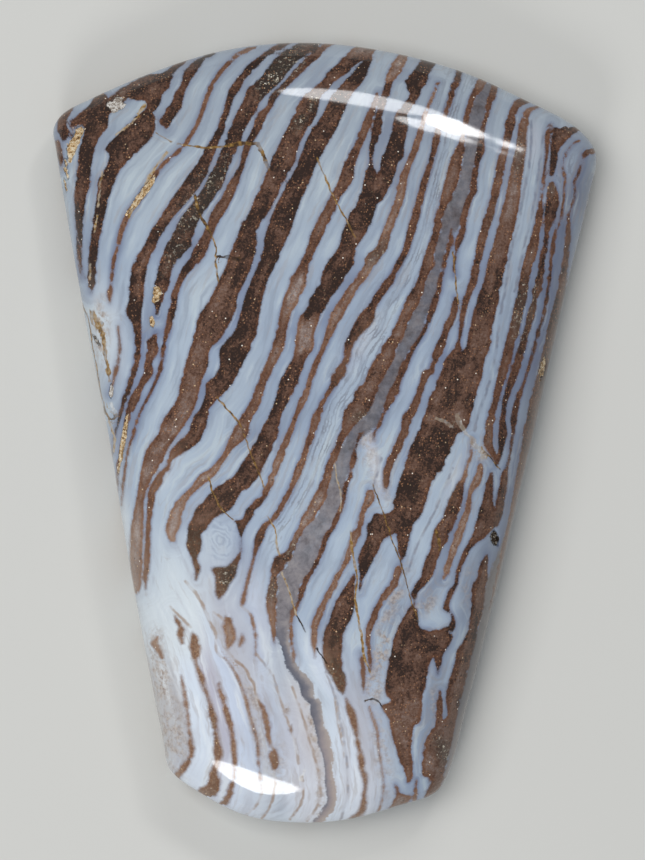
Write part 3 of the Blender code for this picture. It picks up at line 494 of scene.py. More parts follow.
# Lines down the fine layers of the narrow end: how far across the layers each one is, in millimetres,
# then rows of y and x. FLOW_WIDTH is what the colours of the milky layers span
FLOW_WIDTH = 14.0
FLOW = (
    (0.0, ((-6.0, -12.6), (-9.0, -12.0), (-13.0, -10.9), (-18.0, -9.9), (-20.0, -9.5), (-24.0, -9.0))),
    (1.4, ((-6.0, -11.5), (-9.0, -10.7), (-11.5, -9.6), (-13.5, -9.0), (-16.0, -8.3), (-19.0, -7.95),
           (-20.4, -8.6), (-24.0, -8.3))),
    (2.6, ((-6.0, -10.6), (-8.5, -9.8), (-11.0, -8.75), (-12.8, -7.8), (-14.5, -7.35), (-16.5, -6.75),
           (-18.0, -6.5), (-19.5, -6.4), (-21.5, -7.1), (-24.0, -7.4))),
    (3.8, ((-6.0, -9.6), (-8.0, -9.0), (-9.8, -8.0), (-11.5, -7.2), (-13.0, -6.9), (-15.0, -6.3),
           (-17.0, -5.7), (-19.0, -5.4), (-21.0, -5.6), (-24.0, -6.4))),
    (5.0, ((-6.0, -8.9), (-8.0, -7.9), (-9.5, -7.3), (-11.0, -6.9), (-13.0, -6.1), (-14.0, -5.45),
           (-16.0, -4.65), (-18.0, -4.15), (-20.7, -3.8), (-24.0, -4.6))),
    (6.2, ((-6.0, -4.3), (-8.0, -4.5), (-10.0, -4.85), (-12.0, -4.3), (-15.0, -4.0), (-17.0, -3.5),
           (-19.5, -3.0), (-21.5, -2.9), (-24.0, -3.6))),
    (7.2, ((-6.0, -2.0), (-8.0, -3.0), (-10.0, -3.25), (-12.0, -3.1), (-14.0, -2.9), (-16.4, -2.3),
           (-17.6, -2.0), (-19.5, -1.6), (-22.0, -1.5), (-24.0, -2.3))),
    (8.3, ((-6.0, -1.5), (-9.0, -2.8), (-12.0, -2.9), (-14.0, -2.2), (-16.0, -1.0), (-18.0, -0.5),
           (-20.0, 0.0), (-22.0, 0.1), (-24.0, -1.0))),
    (9.2, ((-6.0, 0.0), (-9.0, -1.3), (-12.0, -2.0), (-14.0, -1.5), (-16.0, -0.25), (-18.0, 0.3),
           (-20.0, 0.5), (-22.0, 0.7), (-24.0, -0.4))),
    (10.8, ((-9.0, 1.2), (-12.0, 0.0), (-13.5, 0.4), (-15.5, 1.1), (-17.0, 1.7), (-19.0, 2.1),
            (-21.0, 2.4), (-24.0, 1.7))),
    (12.0, ((-9.0, 1.9), (-13.0, 2.3), (-16.0, 2.6), (-18.0, 3.1), (-20.0, 3.4), (-24.0, 3.1))),
    (13.6, ((-9.0, 3.9), (-13.0, 3.7), (-16.0, 3.7), (-18.0, 4.0), (-20.5, 4.8), (-24.0, 4.0))),
)

# Open pits of the frame: middle, length, width, depth, lean of the long axis to the right in degrees,
# and what lines the pit: 1 gold-brown iron stain, 0 white crystals, -1 nothing, a hollow painted in dark
# shade
PITS = (
    (-14.95, 17.30, 3.1, 0.55, 0.34, 21.0, 1.0),
    (-15.45, 15.20, 1.6, 0.26, 0.20, 3.0, 1.0),
    (-12.50, 19.60, 1.3, 0.85, 0.26, 58.0, 0.1),
    (-10.90, 14.20, 2.9, 0.42, 0.28, 37.0, 1.0),
    (-10.02, 8.25, 1.1, 0.52, 0.36, 8.0, 1.0),
    (-10.27, 6.62, 0.8, 0.30, 0.26, -6.0, 1.0),
    (-13.62, 5.55, 0.9, 0.22, 0.24, -33.0, -0.7),
    (-12.74, 2.55, 1.1, 0.26, 0.22, 2.0, 0.1),
    (-12.05, -0.60, 3.6, 0.30, 0.24, 10.0, 1.0),
    (12.96, 3.85, 1.3, 0.34, 0.24, 10.0, 0.9),
    (10.08, -6.20, 0.95, 0.52, 0.42, -12.0, -1.0),
)

# Hairlines and healed cracks: colour from 0, dark, through 0.5, gold, to 1, white, then half the width
# and the points of the line
CRACKS = (
    (0.45, 0.03, ((-9.9, 17.8), (-9.6, 17.62), (-9.3, 17.45))),
    (0.42, 0.05, ((-8.6, 17.2), (-7.6, 17.05), (-6.6, 17.0), (-5.9, 17.1))),
    (0.34, 0.12, ((-5.9, 17.1), (-5.2, 17.2), (-4.6, 17.27), (-4.0, 17.15), (-3.7, 16.6), (-3.4, 15.8))),
    (0.35, 0.07, ((-7.7, 14.0), (-7.55, 13.3), (-7.2, 12.6), (-6.8, 11.9))),
    (0.42, 0.04, ((-6.8, 11.9), (-6.5, 11.1), (-6.5, 10.2), (-6.35, 9.2))),
    (0.14, 0.12, ((-6.3, 10.5), (-5.7, 10.45), (-5.2, 10.35))),
    (0.45, 0.04, ((-0.4, 16.2), (0.0, 15.2), (0.8, 13.5), (1.3, 12.6), (1.7, 11.8))),
    (0.42, 0.03, ((7.62, 10.6), (7.72, 9.4), (7.85, 8.1), (8.0, 7.5))),
    (0.42, 0.03, ((-6.3, 2.0), (-5.4, 1.0), (-4.9, 0.2), (-4.4, -1.2), (-3.9, -2.4), (-3.7, -3.0))),
    (0.40, 0.03, ((-6.9, -2.7), (-6.6, -3.6), (-6.2, -4.4), (-5.6, -5.0))),
    (0.48, 0.05, ((1.5, -6.0), (1.62, -7.0), (1.78, -7.8), (1.9, -8.8), (1.8, -9.6), (1.9, -10.6),
                  (2.05, -11.4), (2.2, -12.2), (2.3, -13.2), (2.6, -14.0))),
    (0.35, 0.02, ((2.9, -3.2), (3.4, -4.6), (4.2, -6.9), (4.6, -8.0), (5.1, -9.9), (5.5, -11.0))),
    (0.80, 0.12, ((6.75, 0.85), (7.1, 0.7), (7.45, 0.5))),
    (0.80, 0.15, ((7.9, 1.0), (7.95, 0.6), (8.2, 0.2), (8.7, -0.25))),
    (0.80, 0.26, ((8.8, -0.5), (9.15, -0.9), (9.4, -1.3))),
    (0.30, 0.02, ((9.4, -1.0), (9.9, -1.5), (10.3, -2.0))),
    (0.05, 0.04, ((-0.4, -12.9), (-0.2, -13.2), (0.0, -13.5))),
    (0.10, 0.03, ((-1.7, -10.8), (-1.45, -11.2), (-1.25, -11.6))),
    (0.65, 0.03, ((-2.5, -8.4), (-2.25, -9.0), (-2.05, -9.6), (-1.85, -10.3), (-1.7, -10.8))),
    (0.05, 0.04, ((2.55, -15.85), (2.9, -15.78), (3.15, -15.9), (3.3, -16.1))),
    (0.55, 0.03, ((-3.3, -5.1), (-3.05, -5.5), (-2.9, -6.0), (-2.9, -6.4), (-2.75, -7.0))),
    (0.70, 0.03, ((0.6, -2.0), (0.75, -2.8), (0.95, -3.7), (0.9, -4.4))),
    (0.50, 0.34, ((-13.8, 7.1), (-13.6, 6.7), (-13.4, 6.2))),
    (0.44, 0.15, ((-13.35, 6.5), (-13.22, 5.6), (-13.15, 4.9), (-12.98, 4.1), (-12.85, 3.3))),
    (0.40, 0.02, ((-14.5, 7.7), (-14.15, 6.9), (-13.97, 6.0), (-13.85, 5.0), (-13.62, 4.0), (-13.48, 2.9),
                  (-13.35, 2.2))),
    (0.95, 0.10, ((-12.7, 1.65), (-12.55, 1.4))),
    (0.30, 0.10, ((-12.8, 0.85), (-12.6, 0.85), (-12.5, 1.0))),
    (0.35, 0.05, ((-13.2, 1.7), (-13.12, 1.3), (-12.9, 1.0))),
    (0.65, 0.06, ((-12.85, 0.6), (-12.65, 0.1), (-12.55, -0.4), (-12.6, -0.9))),
    (1.00, 0.10, ((-1.25, -20.2), (-1.4, -20.5))),
    (0.66, 0.07, ((-9.5, 16.6), (-10.1, 15.8), (-10.6, 15.0))),
    (0.66, 0.06, ((-11.2, 13.9), (-11.45, 13.4), (-11.6, 13.0))),
    (0.62, 0.06, ((-12.3, 17.9), (-11.8, 18.3), (-11.2, 18.8))),
    (0.62, 0.08, ((-11.1, 19.1), (-10.8, 19.5))),
    (0.62, 0.05, ((-13.3, 15.4), (-13.4, 14.9))),
    (0.66, 0.05, ((-13.4, 14.3), (-13.5, 13.7))),
    (0.62, 0.04, ((-13.6, 12.8), (-13.7, 12.2))),
    (0.66, 0.05, ((-14.0, 9.9), (-14.02, 9.4))),
    (0.30, 0.08, ((6.6, -5.9), (6.75, -6.4), (6.8, -6.8))),
)

# Growth lines in the pale agate: colour from 0, grey, to 1, tan, then half the width and the points
SEAMS = (
    (0.8, 0.04, ((-8.2, -8.9), (-7.6, -9.6), (-6.9, -11.0), (-6.5, -12.0), (-6.4, -13.0), (-5.75, -13.55),
                 (-5.25, -14.4), (-4.95, -15.2), (-4.7, -16.0), (-4.4, -17.1))),
    (0.7, 0.03, ((-6.5, -10.7), (-6.1, -11.0))),
    (0.9, 0.04, ((-5.9, -12.8), (-5.3, -13.5), (-4.75, -13.95), (-4.5, -14.5), (-4.25, -14.8),
                 (-4.15, -15.4), (-3.9, -16.0))),
    (0.9, 0.03, ((-3.3, -18.2), (-3.05, -18.8))),
    (0.9, 0.03, ((-3.05, -19.9), (-2.95, -20.6), (-3.3, -22.3), (-3.7, -22.9))),
    (0.6, 0.02, ((-4.9, -10.3), (-4.45, -10.7), (-4.3, -11.2))),
    (0.5, 0.02, ((-4.0, -13.2), (-3.6, -13.7), (-3.1, -14.4), (-2.9, -15.0))),
    (0.7, 0.03, ((-2.9, -15.0), (-2.6, -16.0), (-2.2, -17.2), (-1.9, -18.0), (-1.75, -18.6), (-1.6, -19.5))),
    (0.8, 0.03, ((-1.9, -15.2), (-1.5, -16.3), (-1.2, -17.2), (-0.95, -18.2), (-0.6, -19.3), (-0.35, -20.6),
                 (-0.3, -21.6), (-0.6, -22.5), (-1.0, -23.0))),
    (0.9, 0.03, ((-1.35, -20.6), (-1.3, -21.6), (-1.55, -22.3), (-2.0, -22.9))),
    (0.9, 0.03, ((-3.9, -20.6), (-3.8, -21.6), (-4.2, -22.3), (-4.7, -22.8))),
    (0.8, 0.02, ((-9.1, -10.4), (-8.6, -10.9), (-8.1, -11.4))),
    (0.4, 0.02, ((0.1, -14.3), (0.45, -15.2), (0.7, -15.9), (0.85, -16.9), (1.05, -17.9), (1.25, -19.2),
                 (1.35, -20.6), (1.3, -21.8), (0.95, -23.0))),
    (0.8, 0.02, ((0.6, -15.7), (0.75, -17.0), (0.95, -18.0), (1.15, -19.2))),
    (0.1, 0.03, ((12.3, 18.6), (12.25, 16.8), (11.85, 14.5), (11.5, 12.5), (11.05, 10.8), (10.7, 8.6),
                 (10.4, 7.0), (10.15, 4.8), (9.85, 3.4), (9.5, 2.2), (9.1, 1.1), (8.9, 0.3))),
    (0.1, 0.02, ((13.0, 17.8), (12.7, 15.6), (12.3, 13.0), (11.9, 11.4), (11.3, 8.6))),
    (0.3, 0.02, ((3.3, -1.6), (2.7, -3.6), (1.9, -5.2), (1.2, -7.0), (0.6, -8.6))),
    (0.2, 0.02, ((7.5, -2.2), (6.6, -4.4), (5.6, -6.4), (5.0, -8.0))),
)

# Nothing of a crack or a growth line is drawn farther from it than this, and down the wall they fade out
LINE_FADE = 0.3
WALL_FADE = (1.4, 2.2)

# The stone's finish: how rough the polish, the lapped back and the open pits are, and how high the pits'
# crystals stand
POLISH = 0.06
LAPPED = 0.42
PIT_ROUGHNESS = 0.7
CRYSTAL_HEIGHT = 0.25
AGATE_IOR = 1.54

# What the photo shows from top to bottom, and the middle of it
IMAGE_HEIGHT = 51.6
VIEW_MIDDLE = np.array((-0.15, 0.21))

# The camera, the floor and the lights, in metres, with the camera's sensor in millimetres
CAMERA_DISTANCE = 0.62
SENSOR = 36.0
FLOOR_SIZE = 1.2
WINDOW_DISTANCE = 0.30
FILL_DISTANCE = 0.55


def smooth_path(points, spacing, closed=False):
    """Points every `spacing` along a centripetal Catmull-Rom curve through the given points."""
    points = np.asarray(points, dtype=float)
    if closed:
        padded = np.vstack((points[-1:], points, points[:2]))
    else:
        padded = np.vstack((2 * points[0] - points[1], points, 2 * points[-1] - points[-2]))
    pieces = []
    for before, start, end, after in zip(padded, padded[1:], padded[2:], padded[3:]):
        knot_before = math.sqrt(np.linalg.norm(start - before))
        knot = math.sqrt(np.linalg.norm(end - start))
        knot_after = math.sqrt(np.linalg.norm(after - end))
        chord = (end - start) / knot
        leave = knot * ((start - before) / knot_before - (end - before) / (knot_before + knot) + chord)
        arrive = knot * (chord - (after - start) / (knot + knot_after) + (after - end) / knot_after)
        steps = max(1, round(knot * knot / spacing))
        t = (np.arange(steps) / steps)[:, None]
        pieces.append(start * (1 - 3 * t ** 2 + 2 * t ** 3) + leave * (t - 2 * t ** 2 + t ** 3)
                      + end * (3 * t ** 2 - 2 * t ** 3) + arrive * (t ** 3 - t ** 2))
    if not closed:
        pieces.append(points[-1:])
    return np.vstack(pieces)


def nearest(samples, places):
    """The index of the sample that is nearest to each place, and how far away it is."""
    tree = KDTree(len(samples))
    for index, (x, y) in enumerate(samples):
        tree.insert((x, y, 0.0), index)
    tree.balance()
    found = [tree.find((x, y, 0.0)) for x, y in places]
    return np.array([hit[1] for hit in found]), np.array([hit[2] for hit in found])


def across_and_along(places, middle, lean):
    """How far each place is from the middle, across and along an axis that leans to the right of +Y."""
    turn = math.radians(lean)
    away = places - middle
    across = away[:, 0] * math.cos(turn) - away[:, 1] * math.sin(turn)
    along = away[:, 0] * math.sin(turn) + away[:, 1] * math.cos(turn)
    return across, along


class Layers:
    """A set of bands, and the distances from any place to their edges."""

    def __init__(self, bands):
        self.edges = []
        for depths, rows in bands.values():
            rows = np.array(rows)
            left = smooth_path(rows[:, (1, 0)], PATH_SPACING)
            right = smooth_path(rows[:, (2, 0)], PATH_SPACING)
            stops = np.array(depths if isinstance(depths, tuple) else ((0.0, depths),))
            self.edges.append((left, right, stops[::-1]))
        self.left_sides, self.right_sides = self.seen_side(0), self.seen_side(1)

    @staticmethod
    def across(edge, y):
        """Where an edge, which runs down the stone, is at these heights."""
        order = np.argsort(edge[:, 1], kind="stable")
        return np.interp(y, edge[order, 1], edge[order, 0])

    def inside(self, places, leave_out=None):
        """True where a place is in one of the bands."""
        found = np.zeros(len(places), dtype=bool)
        for index, (left, right, _) in enumerate(self.edges):
            if index == leave_out:
                continue
            near = (places[:, 1] <= left[0, 1]) & (places[:, 1] >= left[-1, 1])
            y = places[near, 1]
            x = places[near, 0]
            found[near] |= (x > self.across(left, y)) & (x < self.across(right, y))
        return found

    def seen_side(self, side):
        """Rows of x, y and depth along one side of the bands, without what another band covers."""
        samples = []
        for index, edges in enumerate(self.edges):
            edge, stops = edges[side], edges[2]
            depth = np.interp(edge[:, 1], stops[:, 0], stops[:, 1])
            seen = ~self.inside(edge, leave_out=index)
            samples.append(np.column_stack((edge[seen], depth[seen])))
        return np.vstack(samples)

    def measure(self, places):
        """Distance into the nearest band, its depth of colour, and the distances to the two sides."""
        right, from_right = nearest(self.right_sides[:, :2], places)
        left, from_left = nearest(self.left_sides[:, :2], places)
        depth = np.where(from_right < from_left, self.right_sides[right, 2], self.left_sides[left, 2])
        sign = np.where(self.inside(places), 1.0, -1.0)
        return sign * np.minimum(from_right, from_left), depth, from_right, from_left


def flow_field(places):
    """How far across the fine layers of the narrow end each place is, in millimetres."""
    paths = [smooth_path(np.array(rows)[:, (1, 0)], FLOW_SPACING) for _, rows in FLOW]
    lines = [Layers.across(path, places[:, 1]) for path in paths]
    flow = np.zeros(len(places))
    for (low, _), (high, _), left, right in zip(FLOW, FLOW[1:], lines, lines[1:]):
        flow += (high - low) * np.clip((places[:, 0] - left) / (right - left), 0.0, 1.0)
    return flow


def line_fields(places, lines):
    """Signed distance to the nearest line, plain distance to it, its colour and half its width."""
    samples = []
    for colour, width, points in lines:
        path = smooth_path(points, PATH_SPACING)
        along = np.gradient(path, axis=0)
        along /= np.linalg.norm(along, axis=1)[:, None]
        for place, tangent in zip(path, along):
            samples.append((*place, *tangent, colour, width))
    samples = np.array(samples)
    index, distance = nearest(samples[:, :2], places)
    hit = samples[index]
    away = places - hit[:, :2]
    side = away[:, 0] * hit[:, 3] - away[:, 1] * hit[:, 2]
    return side, distance, hit[:, 4], hit[:, 5]


def patches(places, ellipses):
    """The strongest of the soft patches at each place."""
    strength = np.zeros(len(places))
    for x, y, half_width, half_length, lean, most in ellipses:
        across, along = across_and_along(places, (x, y), lean)
        reach = (across / half_width) ** 2 + (along / half_length) ** 2
        strength = np.maximum(strength, most * np.exp(-0.7 * reach ** 1.5))
    return strength


def pit_fields(places):
    """How deep each place is sunk, a field that is positive in a pit, and the stain there."""
    depth = np.zeros(len(places))
    inside = np.full(len(places), -1.0)
    stain = np.zeros(len(places))
    for x, y, length, width, deep, lean, gold in PITS:
        across, along = across_and_along(places + DRAWN_MIDDLE, (x, y), lean)
        near = (np.abs(across) < 1.5 * width) & (np.abs(along) < 0.9 * length)
        for index in np.flatnonzero(near):
            lobes = noise.noise(Vector((*places[index] * 2.3, 4.0)))
            teeth = noise.noise(Vector((*places[index] * 6.0, 1.0)))
            ellipse = 1 - (2 * across[index] / width) ** 2 - (2 * along[index] / length) ** 2
            reach = ellipse + 0.7 * (lobes + 0.6 * teeth)
            if reach > inside[index]:
                inside[index] = reach
                stain[index] = gold
            if reach > 0:
                rough = 0.75 + 0.5 * noise.noise(Vector((*places[index] * 5.0, 9.0)))
                depth[index] = max(depth[index], deep * min(1.0, 1.6 * reach) ** 0.6 * rough)
    return depth, inside, stain


def frame_rim():
    """The frame's outline at the girdle, in millimetres, counter-clockwise about the dome's middle."""
    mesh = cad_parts["cabochon"].data
    spots = {(round(v.co.x / MM, 3), round(v.co.y / MM, 3)) for v in mesh.vertices
             if abs(v.co.z / MM - GIRDLE) < 0.01}
    spots = np.array(sorted(spots))
    bearing = np.arctan2(spots[:, 1] - CORE_CENTRE[1], spots[:, 0] - CORE_CENTRE[0])
    return spots[np.argsort(bearing)]


class Dome:
    """The stone's level lines: places by their share of the way to the rim, and heights."""

    HALVINGS = 30

    def __init__(self, rim, thickness):
        self.rise = thickness - GIRDLE
        path = smooth_path(rim, PATH_SPACING, closed=True)
        away = path - CORE_CENTRE
        bearing = np.arctan2(away[:, 1], away[:, 0])
        order = np.argsort(bearing)
        self.bearings = np.concatenate((bearing[order] - math.tau, bearing[order], bearing[order] + math.tau))
        self.reaches = np.tile(np.linalg.norm(away, axis=1)[order], 3)

    def reach(self, bearing):
        return np.interp(bearing, self.bearings, self.reaches)

    def radius(self, bearing, share):
        """How far the level line of this share is from the middle."""
        core = 1.0 / np.hypot(np.cos(bearing) / CORE_HALF_WIDTH, np.sin(bearing) / CORE_HALF_LENGTH)
        outer = share ** CORE_REACH
        return share * (outer * self.reach(bearing) + (1.0 - outer) * core)

    def place(self, bearing, share):
        radius = self.radius(bearing, share)
        return CORE_CENTRE + np.column_stack((np.cos(bearing), np.sin(bearing))) * radius[:, None]

    def share(self, places):
        """The share of the level line through each place, by halving."""
        away = places - CORE_CENTRE
        bearing = np.arctan2(away[:, 1], away[:, 0])
        radius = np.linalg.norm(away, axis=1)
        low = np.zeros(len(places))
        high = np.ones(len(places))
        for _ in range(self.HALVINGS):
            middle = (low + high) / 2
            outside = self.radius(bearing, middle) > radius
            high = np.where(outside, middle, high)
            low = np.where(outside, low, middle)
        return (low + high) / 2

    def height(self, share):
        return GIRDLE + self.rise * np.sqrt(np.maximum(0.0, 1.0 - np.minimum(share, 1.0) ** DOME_SQUARENESS))


def side_of_grid(dome, start, end, cells):
    """Places along the grid's edge from one corner of the outline to the next, evenly spaced."""
    start, end = (math.atan2(y - CORE_CENTRE[1], x - CORE_CENTRE[0]) for x, y in (start, end))
    end += math.tau * (end < start)
    bearing = np.linspace(start, end, STEPS_IN_CELL * cells + 1)
    path = dome.place(bearing, np.full(len(bearing), GRID_SHARE))
    length = np.concatenate(((0.0,), np.cumsum(np.linalg.norm(np.diff(path, axis=0), axis=1))))
    evenly = np.linspace(0.0, length[-1], cells + 1)
    return np.column_stack([np.interp(evenly, length, path[:, axis]) for axis in (0, 1)])


def filled_grid(low, right, high, left):
    """A Coons patch between four sides: low and high run to the right, left and right run upwards."""
    across = np.linspace(0.0, 1.0, len(low))[:, None, None]
    along = np.linspace(0.0, 1.0, len(left))[None, :, None]
    ruled = (1 - along) * low[:, None] + along * high[:, None]
    ruled = ruled + (1 - across) * left[None] + across * right[None]
    corners = (1 - across) * ((1 - along) * low[0] + along * high[0])
    corners = corners + across * ((1 - along) * low[-1] + along * high[-1])
    return ruled - corners


def border(grid):
    """Indices of a grid's edge cells, counter-clockwise from its low left corner."""
    across, along = grid.shape
    return np.concatenate((grid[:-1, 0], grid[-1, :-1], grid[:0:-1, -1], grid[0, :0:-1]))


class StoneMesh:
    """Collects the vertices and faces of the stone as it is built up from its front to its back."""

    def __init__(self):
        self.places = []
        self.heights = []
        self.faces = []
        self.count = 0

    def add(self, places, heights):
        first = self.count
        self.places.append(places)
        self.heights.append(np.broadcast_to(heights, len(places)))
        self.count += len(places)
        return np.arange(first, self.count)

    def add_grid(self, grid, heights, upward):
        across, along = grid.shape[:2]
        index = self.add(grid.reshape(-1, 2), heights).reshape(across, along)
        corners = (index[:-1, :-1], index[1:, :-1], index[1:, 1:], index[:-1, 1:])
        quads = np.stack(corners if upward else corners[::-1], axis=-1)
        self.faces.extend(quads.reshape(-1, 4).tolist())
        return index

    def join_rings(self, upper, lower):
        """Quads between two rings with equal counts, or triangles and quads down to half the count."""
        count = len(upper)
        if len(lower) == count:
            after = np.roll(lower, -1), np.roll(upper, -1)
            self.faces.extend(np.stack((lower, *after, upper), axis=-1).tolist())
            return
        for index in range(len(lower)):
            first, middle, last = (upper[(2 * index + step) % count] for step in (0, 1, 2))
            here, following = lower[index], lower[(index + 1) % len(lower)]
            self.faces.append([int(here), int(middle), int(first)])
            self.faces.append([int(here), int(following), int(middle)])
            self.faces.append([int(following), int(last), int(middle)])


def shape_stone(dome):
    """The front grid, the rim and girdle rings and the back grid, as one closed surface."""
    stone = StoneMesh()
    low_left, low_right, high_right, high_left = CORNERS
    low = side_of_grid(dome, low_left, low_right, CELLS_ACROSS)
    right = side_of_grid(dome, low_right, high_right, CELLS_ALONG)
    high = side_of_grid(dome, high_right, high_left, CELLS_ACROSS)[::-1]
    left = side_of_grid(dome, high_left, low_left, CELLS_ALONG)[::-1]
    front = filled_grid(low, right, high, left)
    heights = dome.height(dome.share(front.reshape(-1, 2)))
    index = stone.add_grid(front, heights, upward=True)
    ring = border(index)
    edge = front.reshape(-1, 2)[ring] - CORE_CENTRE
    bearing = np.arctan2(edge[:, 1], edge[:, 0])
    for share in RIM_SHARES:
        share = np.full(len(ring), share)
        following = stone.add(dome.place(bearing, share), dome.height(share))
        stone.join_rings(ring, following)
        ring = following
    for share, height in WALL:
        following = stone.add(dome.place(bearing, np.full(len(ring), share)), height)
        stone.join_rings(ring, following)
        ring = following
    half = filled_grid(low[::2], right[::2], high[::2], left[::2])
    middle = half.mean(axis=(0, 1))
    back = stone.add_grid(middle + (half - middle) * BACK_SHARE, 0.0, upward=False)
    stone.join_rings(ring, border(back))
    return stone


def layer_places(dome, places, heights):
    """Where each vertex cuts the layers: on the dome straight above it, and leaning off below it."""
    depth = dome.height(dome.share(places)) - heights
    return places + DRAWN_MIDDLE + depth[:, None] * np.array(LAYER_LEAN)


def unevenness(places):
    """Low waves that hand polishing leaves in the dome."""
    wave = [noise.noise(Vector((x / WAVE_LENGTH, y / WAVE_LENGTH, 2.0))) for x, y in places]
    ripple = [noise.noise(Vector((x / RIPPLE_LENGTH, y / RIPPLE_LENGTH, 6.0))) for x, y in places]
    return WAVE_HEIGHT * (np.array(wave) + RIPPLE_SHARE * np.array(ripple))


def build_stone(dome):
    """The stone's mesh, with everything that its material reads kept in attributes."""
    stone = shape_stone(dome)
    places = np.vstack(stone.places)
    heights = np.concatenate(stone.heights)
    cuts = layer_places(dome, places, heights)
    share = dome.share(places)
    sunk, pit, stain = pit_fields(places)
    on_dome = heights > GIRDLE
    fade = np.clip((1.0 - share) / RIM_FADE, 0.0, 1.0)
    crown = np.clip((heights - GIRDLE) / CROWN_RISE, 0.0, 1.0)
    waves = unevenness(places) * fade - WAVE_HEIGHT * CROWN_WEAR * crown
    heights = heights + on_dome * (waves - sunk)
    pit = np.where(on_dome, pit, -1.0)

    mesh = bpy.data.meshes.new("agate_stone")
    mesh.from_pydata(np.column_stack((places, heights)) * MM, [], stone.faces)
    brown_edge, depth, from_right, from_left = Layers(BROWN).measure(cuts)
    smoke_edge, _, to_right, to_left = Layers(SMOKE).measure(cuts)
    fields = {
        "brown_edge": brown_edge, "brown_depth": depth, "from_right_side": from_right,
        "from_left_side": from_left, "smoke_edge": smoke_edge,
        "smoke_across": to_left / (to_left + to_right + 1e-6), "flow": flow_field(cuts),
        "eye": np.linalg.norm(cuts - EYE, axis=1),
        "milk": patches(cuts, MILK), "haze_and_rim_shade": patches(cuts, HAZE_AND_RIM_SHADE), "blush": patches(cuts, BLUSH),
        "sugar": patches(cuts, SUGAR), "lace": patches(cuts, LACE), "pit": pit, "pit_stain": stain,
    }
    for name, lines in (("crack", CRACKS), ("seam", SEAMS)):
        for part, values in zip(("side", "reach", "colour", "width"), line_fields(cuts, lines)):
            fields[f"{name}_{part}"] = values
    for name, values in fields.items():
        mesh.attributes.new(name, "FLOAT", "POINT").data.foreach_set("value", values.astype(np.float32))
    mesh.shade_smooth()
    item = bpy.data.objects.new("agate_stone", mesh)
    bpy.context.scene.collection.objects.link(item)
    return item


def srgb(red, green, blue):
    """A screen colour, 0 to 255, as the linear colour that a shader wants."""
    shares = (channel / 255.0 for channel in (red, green, blue))
    return (*(s / 12.92 if s <= 0.04045 else ((s + 0.055) / 1.055) ** 2.4 for s in shares), 1.0)


